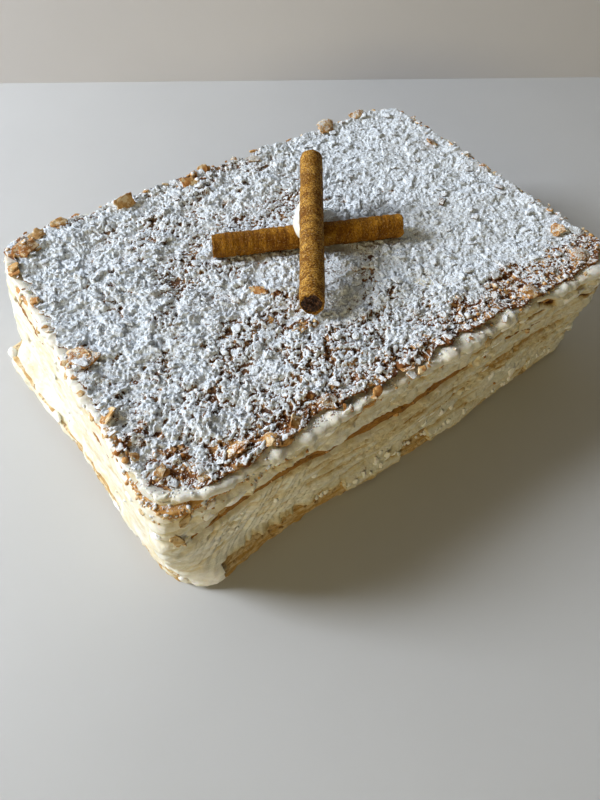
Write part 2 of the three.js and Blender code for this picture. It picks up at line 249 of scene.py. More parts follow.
def near_place(points, x, y, size):
    """1 at a place of the plan, fading to 0 over that many millimetres."""
    return np.exp(-(np.hypot(points[:, 0] - x, points[:, 1] - y) / size)**2)


test_spots = np.stack([np.linspace(0, 90, 2000), np.linspace(5, 40, 2000)], axis=1)
print("clouds spread:", round(float(clouds(test_spots, 5.0).std()), 3))

# %% [markdown]
# ## Reading the layers from the CAD model
# Each layer of the CAD model is a stack of rings round the middle, with their points in the same
# directions. Grouping a layer's points by direction gives its edge: how far it reaches, and between
# which heights. The edges are then laid out on fine stations, evenly spaced along the wall, so that
# one column of a mesh is as wide as the next.

# %% Edges of the layers
LAYERS = ["pastry_bottom", "cream_lower", "pastry_lower", "cream_middle",
          "pastry_upper", "cream_upper", "pastry_top", "cream_cap"]
WALL_STATIONS = 1120
HUB = 20    # a layer's faces meet at its middle, which is no part of its edge


def cad_edge(node):
    """A layer's direction, mean reach, lowest and highest height at each of the CAD's stations."""
    points = read(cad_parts[node])
    points = points[np.hypot(points[:, 0], points[:, 1]) > HUB]
    turn = np.round(np.arctan2(points[:, 1], points[:, 0]), 3)
    stations = np.unique(turn)
    rows = [points[turn == station] for station in stations]
    reach = np.array([np.hypot(row[:, 0], row[:, 1]).mean() for row in rows])
    return stations, reach, np.array([r[:, 2].min() for r in rows]), np.array([r[:, 2].max() for r in rows])


def from_middle(reach, turn):
    """Places at some reach and direction from the middle."""
    return np.stack([reach * np.cos(turn), reach * np.sin(turn)], axis=1)


def round_trip(turns, stations, values):
    """Values known at some directions, read at others, all the way round."""
    return np.interp(turns, stations, values, period=2 * math.pi)


edges = {node: cad_edge(node) for node in LAYERS}
DENSE_STATIONS = 20000
dense = np.linspace(-math.pi, math.pi, DENSE_STATIONS)
dense_reach = round_trip(dense, edges["cream_middle"][0], edges["cream_middle"][1])
run = np.hypot(*np.diff(from_middle(dense_reach, dense), axis=0).T)
travelled = np.concatenate([[0], np.cumsum(run)])
wall_length = travelled[-1]
wall_turn = np.interp(np.arange(WALL_STATIONS) / WALL_STATIONS * wall_length, travelled, dense)
print("the wall is", round(wall_length), "mm round, with a column every",
      round(wall_length / WALL_STATIONS, 2), "mm")


def soften(values, width):
    """Rounds off values along the wall. The width is in stations."""
    rate = np.fft.fftfreq(len(values))
    return np.real(np.fft.ifft(np.fft.fft(values) * np.exp(-2 * (math.pi * rate * width)**2)))


WALL_ROUNDING = 6
reach_of, low_of, high_of = ({}, {}, {})
for node, (stations, reach, low, high) in edges.items():
    reach_of[node] = soften(round_trip(wall_turn, stations, reach), WALL_ROUNDING)
    low_of[node] = soften(round_trip(wall_turn, stations, low), WALL_ROUNDING)
    high_of[node] = soften(round_trip(wall_turn, stations, high), WALL_ROUNDING)

# %% [markdown]
# The real front isn't flat: it stands back by a few millimetres from the near corner on, and its far
# end is cut away at the foot. Below the rim, the near corner is squarer than the CAD's round one. The
# edges take all this in before anything is built on them.

# %% Where the front stands back
FRONT_X = [-112, -104, -95, -85, -70, -40, 0, 30, 60, 95, 118]
BACK_BY = {"pastry_bottom": [0, -0.8, 1.5, 3.7, 3.1, 1.6, 0.8, 0.4, 2.2, 3.4, 4],
           "cream_lower": [0, 2.4, 4.7, 5.2, 4.9, 4.2, 3.3, 2.7, 2.8, 2.6, 2],
           "pastry_lower": [0, 2.2, 4.2, 4.6, 4.4, 3.9, 3.2, 3.3, 3.4, 2.8, 1.5]}
CREAM_BACK_BY = [0, 0.5, 1.5, 1.5, 1.5, 1.5, 1.5, 2.6, 2.8, 2.4, 0]
END_CUT = {"pastry_bottom": 3.5, "cream_lower": 1.0, "pastry_lower": 0.3, "cream_middle": 0.5}
SQUARE_FROM = np.array([-102.0, -67.0])
SQUARE = {"pastry_bottom": 0.1, "cream_lower": 0.35, "pastry_lower": 0.95, "cream_middle": 1.0,
          "pastry_upper": 0.8, "cream_upper": 0.6, "pastry_top": 0.15}
MOST_SLANT = 1.6
for node in LAYERS:
    edge = from_middle(reach_of[node], wall_turn)
    front_share = smooth(-66, -80, edge[:, 1])
    back_by = np.interp(edge[:, 0], FRONT_X, BACK_BY.get(node, CREAM_BACK_BY)) * front_share
    if node == "pastry_bottom":
        ledge_end = smooth(74, 84, edge[:, 1]) * smooth(-100, -120, edge[:, 0])
        back_by += 0.8 * ledge_end * np.clip(reach_of[node] - reach_of["cream_lower"], 0, None)
    back_by += END_CUT.get(node, 0) * near_place(edge, 118, -84, 24)
    bend = edge - SQUARE_FROM
    across = np.linalg.norm(bend, axis=1)
    squarer = across * (((np.abs(bend) / across[:, None])**6).sum(axis=1)**(-1 / 6) - 1)
    reach_of[node] += SQUARE.get(node, 0) * squarer * (bend < 0).all(axis=1)
    slant = np.minimum(reach_of[node] / np.maximum(np.abs(edge[:, 1]), 1), MOST_SLANT)
    reach_of[node] -= back_by * slant**front_share
print("the front stands back by up to", round(float(back_by.max()), 1), "mm")

# %% Points along the wall
CREAMS = ["cream_lower", "cream_middle", "cream_upper", "cream_cap"]


def between(values, station):
    return np.interp(station % WALL_STATIONS, np.arange(WALL_STATIONS + 1), values)


def along(values, station):
    """Values kept for the stations, read at places between them."""
    return between(np.append(values, values[0]), station)


def layer_at(node, station):
    """A layer's lowest height, highest height and reach at places along the wall."""
    return along(low_of[node], station), along(high_of[node], station), along(reach_of[node], station)


def turn_at(station):
    """The direction from the middle at places between the stations, in radians."""
    return between(np.append(wall_turn, wall_turn[0] + 2 * math.pi), station)


def on_wall(station, height, out=0.0):
    """Points on the smoothed cream wall, moved outwards by some millimetres."""
    lows, highs, reaches = np.stack([layer_at(node, station) for node in CREAMS], axis=1)
    levels = (lows + highs) / 2
    share = np.clip((height - levels[:-1]) / np.diff(levels, axis=0), 0, 1)
    reach = reaches[0] + (share * np.diff(reaches, axis=0)).sum(axis=0)
    moved = (out * wall_facing(station)).T
    return np.column_stack([from_middle(reach, turn_at(station)) + moved, height + 0 * reach])


middle_line = from_middle(reach_of["cream_middle"], wall_turn).T
FACING_SPAN, FACING_ROUNDING = 3, 4
line_step = np.roll(middle_line, -FACING_SPAN, axis=1) - np.roll(middle_line, FACING_SPAN, axis=1)
line_step /= np.linalg.norm(line_step, axis=0)
facing_x, facing_y = soften(line_step[1], FACING_ROUNDING), soften(-line_step[0], FACING_ROUNDING)


def wall_facing(station):
    """The outward direction of the wall at a station."""
    facing = np.stack([along(facing_x, station), along(facing_y, station)])
    return facing / np.linalg.norm(facing, axis=0)


def band(rows, shape, columns=WALL_STATIONS):
    """A strip of small faces wrapped round the cake. Its two long edges are closed with a face each."""
    strip = grid(columns, rows)
    share = (corners(strip)[:, :2] + 1) / 2
    points, notes = shape(share[:, 0] * WALL_STATIONS, share[:, 1])
    write(strip, points)
    for name, values in notes.items():
        note(strip, name, values)
    edit(strip, (bpy.ops.mesh.remove_doubles, {"threshold": 1e-6}),
         (bpy.ops.mesh.fill_holes, {"sides": 0}))
    return strip

# %% [markdown]
# ## Materials
# A Principled shader does the work for every finish here, and what changes over a surface is worked
# out with small sums. Wiring Math nodes by hand hides such sums, so one class wraps a socket and
# lets Python's own signs add the nodes. Another holds a material and makes every other node.

# %% Shader sums
class Signal:
    """A shader value that Python's signs work on."""

    def __init__(self, recipe, socket):
        self.recipe, self.socket = recipe, socket

    def sum(self, operation, first, second):
        return self.recipe.node("ShaderNodeMath", {"operation": operation}, {0: first, 1: second})

    def __add__(self, other): return self.sum("ADD", self, other)
    def __radd__(self, other): return self.sum("ADD", other, self)
    def __sub__(self, other): return self.sum("SUBTRACT", self, other)
    def __rsub__(self, other): return self.sum("SUBTRACT", other, self)
    def __mul__(self, other): return self.sum("MULTIPLY", self, other)
    def __rmul__(self, other): return self.sum("MULTIPLY", other, self)


class Recipe:
    """One material, and the nodes that make it up."""

    def __init__(self, name):
        self.material = bpy.data.materials.new(name)
        self.material.use_nodes = True
        self.tree = self.material.node_tree
        self.shader = self.tree.nodes["Principled BSDF"]
        self.place = self.node("ShaderNodeTexCoord", output="Object")

    def node(self, kind, settings=None, inputs=None, output=0):
        made = self.tree.nodes.new(kind)
        for name, value in (settings or {}).items():
            setattr(made, name, value)
        self.feed(made, inputs or {})
        return Signal(self, made.outputs[output])

    def feed(self, made, inputs):
        for name, value in inputs.items():
            known = {socket.identifier: socket for socket in made.inputs}
            socket = known[name] if name in known else made.inputs[name]
            if isinstance(value, Signal):
                self.tree.links.new(value.socket, socket)
            elif isinstance(value, tuple) and len(value) == 3 and socket.type == "RGBA":
                socket.default_value = (*value, 1)
            else:
                socket.default_value = value

    def skin(self, **inputs):
        """Sets sockets of the Principled shader, with _ for a space in a socket's name."""
        self.feed(self.shader, {name.replace("_", " "): value for name, value in inputs.items()})
        return self.material

    def noise(self, size, detail=2.0, stretch=None, roughness=0.5):
        """Noise with blobs of about that size in millimetres, stretched along the axes if asked."""
        spot = self.place
        if stretch:
            spot = self.node("ShaderNodeMapping", None, {"Vector": spot, "Scale": stretch})
        settings = {"Vector": spot, "Scale": 1000 / size, "Detail": detail, "Roughness": roughness}
        return self.node("ShaderNodeTexNoise", None, settings)

    def mix(self, share, first, second):
        inputs = {"Factor_Float": share, "A_Color": first, "B_Color": second}
        return self.node("ShaderNodeMix", {"data_type": "RGBA"}, inputs, output=2)

    def ease(self, low, high, value):
        """0 below low, 1 above high, smooth between."""
        settings = {"interpolation_type": "SMOOTHSTEP"}
        inputs = {"Value": value, "From Min": low, "From Max": high}
        return self.node("ShaderNodeMapRange", settings, inputs)

    def attribute(self, name):
        return self.node("ShaderNodeAttribute", {"attribute_name": name}, output="Fac")

    def facing_up(self):
        """The upward part of the surface's direction, from -1 to 1."""
        normal = self.node("ShaderNodeNewGeometry", output="Normal")
        return self.node("ShaderNodeSeparateXYZ", None, {"Vector": normal}, output="Z")

    def bump(self, height, depth, strength=1.0):
        """Relief of that depth in millimetres where height goes from 0 to 1."""
        inputs = {"Height": height, "Distance": depth / 1000, "Strength": strength}
        return self.node("ShaderNodeBump", None, inputs, output="Normal")

# %% [markdown]
# ## Cream
# Whipped cream is nearly white and lets light a few millimetres in, which softens its shadows. It
# dries to a satin skin. Where it lies thinly on pastry, the gold shows through: the wall's mesh
# keeps how thin it is as an attribute, and the material warms it up by that. The same attribute
# also carries painted shade: creases, valleys and hollows of the relief are coloured browner, the
# deepest creases nearly black. Below 0 it is whiter: on the dabs and at the foot of the near corner
# this is painted light, and the cap's fullest lips are whiter too.

# %% Cream material
def cream_material():
    cream = Recipe("cream")
    thin = cream.attribute("thin")
    patch = cream.noise(14, 3, (1, 1, 2.2))
    fine = cream.noise(1.5, 4, (0.6, 0.6, 1.4), 0.6)
    smear = cream.noise(5, 4, (0.45, 0.45, 2.6), 0.6)
    base = cream.mix(cream.ease(0.38, 0.66, patch), (0.81, 0.805, 0.725), (0.815, 0.775, 0.64))
    yellow = cream.ease(0.1, 0.6, thin + (patch - 0.5) * 0.4 + (smear - 0.5) * 1.2)
    base = cream.mix(yellow, base, (0.72, 0.63, 0.395))
    # whiter below 0: painted light on the dabs and at the foot of the near corner
    base = cream.mix(cream.ease(-0.1, -1.0, thin), base, (0.95, 0.945, 0.90))
    # painted light: where the fine bump stands highest, the cream is coloured lighter
    base = cream.mix(cream.ease(0.56, 0.70, fine) * 0.7, base, (0.90, 0.89, 0.82))
    # browner where the attribute is high: stains where gold shows through, and painted shade in creases and
    # hollows
    stain_and_painted_shade = cream.ease(0.45, 1.1, thin + (fine - 0.5) * 1.4 + (smear - 0.5) * 1.3)
    warm = cream.mix(stain_and_painted_shade, base, (0.45, 0.27, 0.075))
    # nearly black in the deepest creases: painted shade
    warm = cream.mix(cream.ease(1.05, 1.5, thin + (fine - 0.5) * 0.5), warm, (0.085, 0.03, 0.006))
    return cream.skin(
        Base_Color=warm, Roughness=0.36 + 0.3 * fine, Normal=cream.bump(fine, 0.45, 0.9),
        Subsurface_Weight=0.25, Subsurface_Radius=(1.0, 0.75, 0.45), Subsurface_Scale=0.0012,
        IOR=1.45, Specular_IOR_Level=0.45)


CREAM = cream_material()

# %% [markdown]
# ## Baked pastry
# Puff pastry is golden where it is thin and flaky, and brown to nearly burnt at the edges and in the
# gaps between its leaves. Its leaves run level, so the colour changes quickly with height and slowly
# along the sheet. Icing sugar that falls past the top settles on everything that faces up.

# %% Pastry material
def pastry_material(name, pale, golden, burnt, sugar):
    pastry = Recipe(name)
    leaf = pastry.noise(7, 4, (1, 1, 9))
    spot = pastry.noise(2.2, 4)
    grain = pastry.noise(0.5, 2)
    golden_mix = pastry.mix(pastry.ease(0.36, 0.6, leaf), golden, pale)
    baked = pastry.mix(pastry.ease(0.48, 0.68, spot * 0.6 + leaf * 0.4), golden_mix, burnt)
    dust = pastry.facing_up() * 0.7 + (grain - 0.5) * 1.5 + (spot - 0.5) * 1.2 + (sugar - 1)
    colour = pastry.mix(pastry.ease(0.22, 0.42, dust), baked, (0.80, 0.82, 0.83))
    return pastry.skin(
        Base_Color=colour, Roughness=0.5 + 0.35 * grain, Normal=pastry.bump(grain * 0.5 + leaf, 0.3, 0.7),
        Specular_IOR_Level=0.35)


BAKED = pastry_material("baked_pastry", (0.42, 0.205, 0.032), (0.27, 0.11, 0.012), (0.095, 0.032, 0.005), 0.0)
BASE = pastry_material("pale_base", (0.74, 0.59, 0.34), (0.50, 0.30, 0.09), (0.19, 0.08, 0.015), 0.2)
CRUST = pastry_material("flaky_crust", (0.66, 0.38, 0.12), (0.50, 0.23, 0.05), (0.20, 0.065, 0.012), 0.45)

# %% [markdown]
# ## Icing sugar over crumbs
# The sugar is sifted from above, so it lies on what faces up and leaves the flanks and gaps uncovered.
# The material is pastry below, sugar above, and a ragged border between them that follows the
# direction of the surface. Where a crumb counts as bare, its browns show in what the sugar misses;
# elsewhere that is painted a dark grey-brown, as shade. Each mesh keeps how much sugar fell on it as
# an attribute, and the bed's is made lower in the gaps and hollows so that the painted shade shows there.

# %% Sugared material
SUGAR_WHITE, SUGAR_GREY = (0.86, 0.92, 0.97), (0.74, 0.80, 0.86)
SUGAR_THIN = (0.90, 0.895, 0.87)
PAINTED_GAP_SHADE = (0.105, 0.066, 0.045)


def sugared_material(name, reach, bare, dark, light):
    crumb = Recipe(name)
    sugar = crumb.attribute("sugar")
    grain = crumb.noise(0.6, 3, None, 0.6)
    clump = crumb.noise(1.9, 3)
    patch = crumb.noise(7, 3)
    brown = crumb.mix(crumb.ease(0.38, 0.6, clump * 0.5 + patch * 0.5), dark, bare)
    brown = crumb.mix(crumb.ease(0.51, 0.62, crumb.noise(3.1, 2)), brown, light)
    # painted shade: where a crumb is not bare, what the sugar misses takes this dark grey-brown
    brown = crumb.mix(crumb.attribute("bare"), PAINTED_GAP_SHADE, brown)
    cover = crumb.facing_up() * 0.8 + sugar * 1.3 + (grain - 0.5) * 1.3 + (clump - 0.5) * 0.9
    mask = crumb.ease(reach, reach + 0.2, cover + (patch - 0.5) * 0.5)
    mask = mask * (1 - crumb.ease(0.60, 0.68, crumb.noise(1.0, 3)) * 0.7)
    white = crumb.mix(crumb.ease(0.35, 0.95, sugar), SUGAR_THIN, SUGAR_WHITE)
    white = crumb.mix(crumb.ease(0.33, 0.55, grain), SUGAR_GREY, white)
    return crumb.skin(
        Base_Color=crumb.mix(mask, brown, white), Roughness=0.72 + 0.2 * grain,
        Normal=crumb.bump(grain + clump * 0.6, 0.4, 0.9), Specular_IOR_Level=0.25)


SUGARED = sugared_material("sugared_crumbs", 1.10,
                           (0.26, 0.10, 0.024), (0.085, 0.026, 0.007), (0.55, 0.30, 0.11))
GRAIN = sugared_material("sugar_grain", 0.95, (0.36, 0.16, 0.045), (0.13, 0.048, 0.014), (0.58, 0.36, 0.16))
GOLDEN = sugared_material("golden_flakes", 1.10, (0.64, 0.38, 0.14), (0.40, 0.165, 0.04), (0.82, 0.64, 0.38))

# %% [markdown]
# ## Wafer and chocolate
# The rolls are baked batter: ochre, with brown rings where the batter was thicker, fine pores and a
# few white specks of sugar. The grooves that the winding leaves are painted darker, as shade. The
# filling is dark and crumbly, with a little fat shine on its grains.

# %% Roll materials
def wafer_material(name, light, middle, shade, ring_share, fleck_share):
    wafer = Recipe(name)
    along_roll = wafer.attribute("along")
    around_roll = wafer.attribute("around")
    ring_spot = wafer.node("ShaderNodeCombineXYZ", None, {"X": along_roll, "Y": around_roll * 0.12})
    ring = wafer.node("ShaderNodeTexNoise", None, {"Vector": ring_spot, "Scale": 0.42, "Detail": 3.0})
    pore_spot = wafer.node("ShaderNodeCombineXYZ", None, {"X": along_roll, "Y": around_roll * 0.45})
    pore = wafer.node("ShaderNodeTexNoise", None, {"Vector": pore_spot, "Scale": 1.9, "Detail": 4.0})
    fleck = wafer.noise(0.62, 3)
    cloudy = wafer.noise(5, 3)
    pleat = wafer.attribute("pleat")
    tone = wafer.mix(wafer.ease(0.34, 0.66, ring * ring_share + pore * (1 - ring_share)), shade, middle)
    tone = wafer.mix(wafer.ease(0.42, 0.66, cloudy * 0.5 + pore * 0.5), tone, light)
    tone = wafer.mix(wafer.ease(0.50, 0.62, fleck) * fleck_share, tone, shade)
    # painted shade: darker in the grooves of the rings that the winding leaves
    tone = wafer.mix(wafer.ease(0.1, -0.7, pleat + (pore - 0.5)) * 0.6, tone, shade)
    speck = wafer.ease(0.58, 0.68, wafer.noise(0.8, 1)) * 0.45 * fleck_share
    tone = wafer.mix(speck, tone, (0.74, 0.52, 0.22))
    relief = pore * 0.7 + ring * 0.4 + fleck * 0.5
    return wafer.skin(Base_Color=tone, Roughness=0.6 + 0.25 * pore, Normal=wafer.bump(relief, 0.4, 0.9),
                      Specular_IOR_Level=0.12)


WAFER = wafer_material("wafer", (0.64, 0.36, 0.07), (0.42, 0.20, 0.022), (0.12, 0.038, 0.003), 0.35, 1.0)
WAFER_DARK = wafer_material("wafer_dark", (0.48, 0.225, 0.018), (0.32, 0.13, 0.007),
                            (0.12, 0.038, 0.002), 0.6, 0.5)


def chocolate_material():
    chocolate = Recipe("chocolate")
    grain = chocolate.noise(0.7, 3)
    tone = chocolate.mix(chocolate.ease(0.40, 0.60, grain), (0.007, 0.003, 0.003), (0.075, 0.028, 0.012))
    tone = chocolate.mix(chocolate.ease(0.56, 0.66, chocolate.noise(1.1, 2)), tone, (0.20, 0.095, 0.045))
    return chocolate.skin(Base_Color=tone, Roughness=0.5 + 0.3 * grain, Normal=chocolate.bump(grain, 0.25),
                          Specular_IOR_Level=0.4)


CHOCOLATE = chocolate_material()
print("materials:", len(bpy.data.materials))

# %% [markdown]
# ## How much pastry shows in the wall
# Once the layers were stacked, the sides were smeared with cream. The knife left the sheets' edges
# bare in places: nearly all along the front, much less on the left. For each sheet this gives a
# number from 0, covered, to 1, bare, at each station, from the side it is on and some noise.

# %% Bare places
FRONT_REACH, RIGHT_REACH, BACK_REACH, LEFT_REACH = 88, 124, 90, 128
SIDE_SHARPNESS = 14


def side_share(points):
    """How much each point of the wall belongs to the front, right, back and left side."""
    x, y = points[:, 0], points[:, 1]
    facing = np.stack([-y / FRONT_REACH, x / RIGHT_REACH, y / BACK_REACH, -x / LEFT_REACH])
    power = np.clip(facing, 0, None)**SIDE_SHARPNESS
    return power / power.sum(axis=0)


def bare_share(points, by_side, seed, size=13.0, extra=()):
    """Where a sheet's edge is bare. `extra` adds patches: middle x, y, half length, amount."""
    amount = (side_share(points) * np.array(by_side)[:, None]).sum(axis=0)
    for x, y, length, more in extra:
        distance = np.hypot(points[:, 0] - x, points[:, 1] - y)
        amount = amount + more * np.exp(-(distance / length)**4)
    noise = clouds(points[:, :2], size, seed, 2) + 0.35 * clouds(points[:, :2], 2.6, seed + 3)
    return smooth(-0.1, 0.22, amount + 0.75 * noise - 0.5)


UPPER_BARE = dict(by_side=[1.5, 0.5, 0.55, -0.1], seed=21,
                  extra=[(-119, -84, 7, -1.4), (-84, -86, 24, 0.7), (80, -84, 52, -2.2)])
LOWER_BARE = dict(by_side=[-0.3, 0.5, 0.45, -0.2], seed=33)
TOP_BARE = dict(by_side=[-0.45, 0.5, 0.45, 0.7], seed=45,
                extra=[(-119, -74, 10, 1.4), (-112, -84, 12, 1.8), (-94, -88, 12, 1.4)])
BASE_BARE = dict(by_side=[0.1, 0.5, 0.55, 0.2], seed=57, size=20.0,
                 extra=[(-80, -89, 24, 2.0), (-48, -89, 9, 0.9), (-115, -90, 9, -2.0), (4, -88, 9, 0.4)])
BARE_EDGES = {"pastry_upper": UPPER_BARE, "pastry_lower": LOWER_BARE, "pastry_top": TOP_BARE}
UPPER_WAVE = [
    (-112, -4.6), (-100, -3.4), (-90, -2.2), (-78, 0.2), (-70, 1.0), (-62, 1.6), (-55, -0.4), (-48, -2.4),
    (-40, -1.2), (-30, -2.0), (-20, -1.2), (-10, -1.9), (0, -1.0), (12, 0.4), (27, 1.0), (60, 1.5),
    (110, 0)]


def sheet_wave(node, points):
    """How far a sheet's edge rises or sags along the front, in millimetres."""
    if node != "pastry_upper":
        return 0.0
    return np.interp(points[:, 0], *zip(*UPPER_WAVE)) * smooth(-60, -80, points[:, 1])


def sheet_swell(node, points):
    """How much thicker a sheet looks, up and down, where its leaves have come apart along the front."""
    if node != "pastry_upper":
        return 0.0
    near_left = smooth(-112, -102, points[:, 0]) * smooth(-48, -58, points[:, 0])
    middle = np.exp(-((points[:, 0] + 12) / 42)**6)
    return (1.6 * middle + 0.8 * near_left) * smooth(-60, -80, points[:, 1])


# %% [markdown]
# ## The coat of cream
# In life the three fillings and the smear on the sides are one body of cream from outside, so one
# surface stands for them: a strip wrapped round the wall, made in a lower and an upper half so that
# its faces can be half a millimetre. It is shaped like clay, by moving its points in and out: slow
# swells, the overlapping facets that a spatula leaves, fine drag lines, and a groove wherever a sheet
# is left bare. At the foot it runs out over the ledge.

# %% What the spatula left
# From x and height, to x and height, half width, how far it stands out, how brown it is. In the
# narrow sunken creases this brown is painted shade; in the broad tan patch it is a stain.
FRONT_MARKS = [
    (-103, 51, -86, 53, 3.6, 1.6, 0), (-80, 49, -63, 56, 2.2, 1.0, 0), (-85, 48, -84, 51, 1.3, 1.3, 0),
    (-60, 14, -50, 22, 3.6, 1.1, 0), (62, 65, 92, 54, 2.0, 1.9, 0), (76, 65, 106, 49, 2.2, 2.1, 0),
    (93, 64, 110, 52, 1.9, 1.7, 0), (50, 62, 66, 57, 2.0, 1.1, 0), (-46, 53, 30, 57, 3.0, 0.7, 0),
    (-106, 37.5, -97, 37, 0.8, -1.0, 0.5), (27, 50, 52, 53.5, 0.8, -1.0, 0.8),
    (57, 53.5, 73, 52, 0.8, -1.0, 1.15), (69, 59, 79, 54.5, 1.5, -2.6, 1.6),
    (91, 50, 109, 45, 0.9, -1.4, 1.1), (-50, 32.5, 42, 32, 0.8, -0.7, 0.55),
    (-60, 26.5, 62, 26, 0.8, -0.7, 0.55), (42, 31, 84, 32, 4.6, -0.3, 0.42),
    (60, 34.5, 98, 32, 1.3, -0.7, 0.6), (0, 10.5, 36, 11, 0.9, -0.6, 0.4),
    (84, 20, 106, 26, 1.2, -0.7, 0.4), (-58, 38, -30, 36, 0.8, -0.5, 0.3),
    (20, 42, 44, 40, 0.7, -0.6, 0.35), (60, 66, 74, 60, 1.0, -1.3, 0.9), (84, 62, 98, 55, 0.9, -1.3, 0.7)]


def front_marks(points, front):
    """What the spatula left on the front, mark by mark: relief in millimetres, and brown from 0 to 1, which
    in the sunken creases is painted shade.
    """
    wander = points[:, [0, 2]] + np.column_stack([clouds(points, (9, 9, 6), 18),
                                                  0.9 * clouds(points, (7, 7, 5), 19, 2)])
    relief, brown = np.zeros(len(points)), np.zeros(len(points))
    for x_from, z_from, x_to, z_to, width, height, stain_and_painted_shade in FRONT_MARKS:
        share = np.exp(-(line_distance(wander, (x_from, z_from), (x_to, z_to)) / width)**2) * front
        relief += height * share
        brown = np.maximum(brown, stain_and_painted_shade * share)
    return relief, brown


def streaks(run, height, slope, size, seed):
    """Long thin strokes that rise by that slope in degrees."""
    turn = math.radians(slope)
    spot = np.column_stack([run * math.cos(turn) + height * math.sin(turn),
                            height * math.cos(turn) - run * math.sin(turn)])
    return clouds(spot, size, seed, 2)


def coat_relief(points):
    """Relief in millimetres outwards, and how brown each point is, from 0 to 1: stains, and painted shade in
    the creases and valleys.
    """
    front, _, _, left = side_share(points)
    run, height = points[:, 0] - points[:, 1], points[:, 2]
    corner = near_place(points, -117, -85, 20)
    steep = np.exp(-((points[:, 0] + 86) / 27)**4) * front * smooth(44, 38, height)
    drag = points.copy()
    drag[:, 2] += 0.03 * run + 1.6 * clouds(points, (30, 30, 14), 2, 2)
    swell = clouds(points, (30, 30, 14), 3, 2)
    _, gap, own, way = cells(drag, (46, 46, 9.0), 11)
    facet = -0.16 * way[:, 2] * (0.3 + 1.5 * own) + (own - 0.5) * 0.9
    crease = smooth(0.08, 0.0, gap) * (own > 0.4)
    drag[:, 2] -= 0.1 * run
    _, gap, own, way = cells(drag, (15, 15, 3.4), 12)
    dab = -0.2 * way[:, 2] * (0.2 + 1.8 * own) + (own - 0.5) * 0.5
    fine_dab = smooth(0.12, 0, gap) * (own > 0.35)
    steep_lines = streaks(run, height, 58, (17, 1.7), 24)
    level_lines = streaks(run, height, 6, (24, 1.6), 25)
    left_lines = streaks(run, height, -35, (30, 3.2), 26)
    rough = 0.35 + 0.65 * smooth(-0.1, 0.5, clouds(points, (24, 24, 8), 15, 2))
    crumbly = clouds(points, (2.6, 2.6, 1.7), 9, 2)
    strokes = (1 - left) * (1 - steep) * (0.6 * facet + 1.1 * dab + 0.6 * level_lines)
    strokes += 0.75 * steep * steep_lines
    strokes += left * (0.3 * facet + 0.3 * dab + 0.55 * left_lines)
    marks, brown = front_marks(points, front)
    relief = 0.7 * swell + strokes + marks + (0.9 - 0.64 * left) * rough * crumbly
    relief += corner * (0.5 * clouds(points, (5, 5, 4), 16, 2) - 0.3 * facet)
    # painted shade: the creases between facets and dabs and the valleys of the level lines are made browner
    creased = (1 - steep) * (1 - 0.7 * left) * np.maximum(crease, 0.5 * fine_dab)
    valley = smooth(0.1, -0.7, level_lines) * (1 - steep) * (1 - left)
    valley *= smooth(-0.3, 0.6, clouds(points, (22, 22, 8), 27, 2))
    return relief - 0.45 * creased, np.clip(brown + 0.22 * creased + 0.3 * valley, 0, 1.6)


# %% Cream coat
COAT_FOOT, COAT_JOIN, COAT_HEAD = 0.7, 29.2, 59.6
COAT_FOLD = 2
COAT_COLUMNS, LOWER_ROWS, UPPER_ROWS = 1600, 56, 60
SMOOTH_BELOW = math.radians(65)
# x, y, height, size, how far it stands out
WALL_BULGES = [
    (-117, -87, 48, 8, 1.2), (-112, -91, 7, 6, 2.2), (-119.5, -85, 4, 3, -3.0), (-126, -52, 8, 12, 0.8),
    (-98, -88, 24, 16, -0.6), (-120, -70, 38, 16, 0.6)]


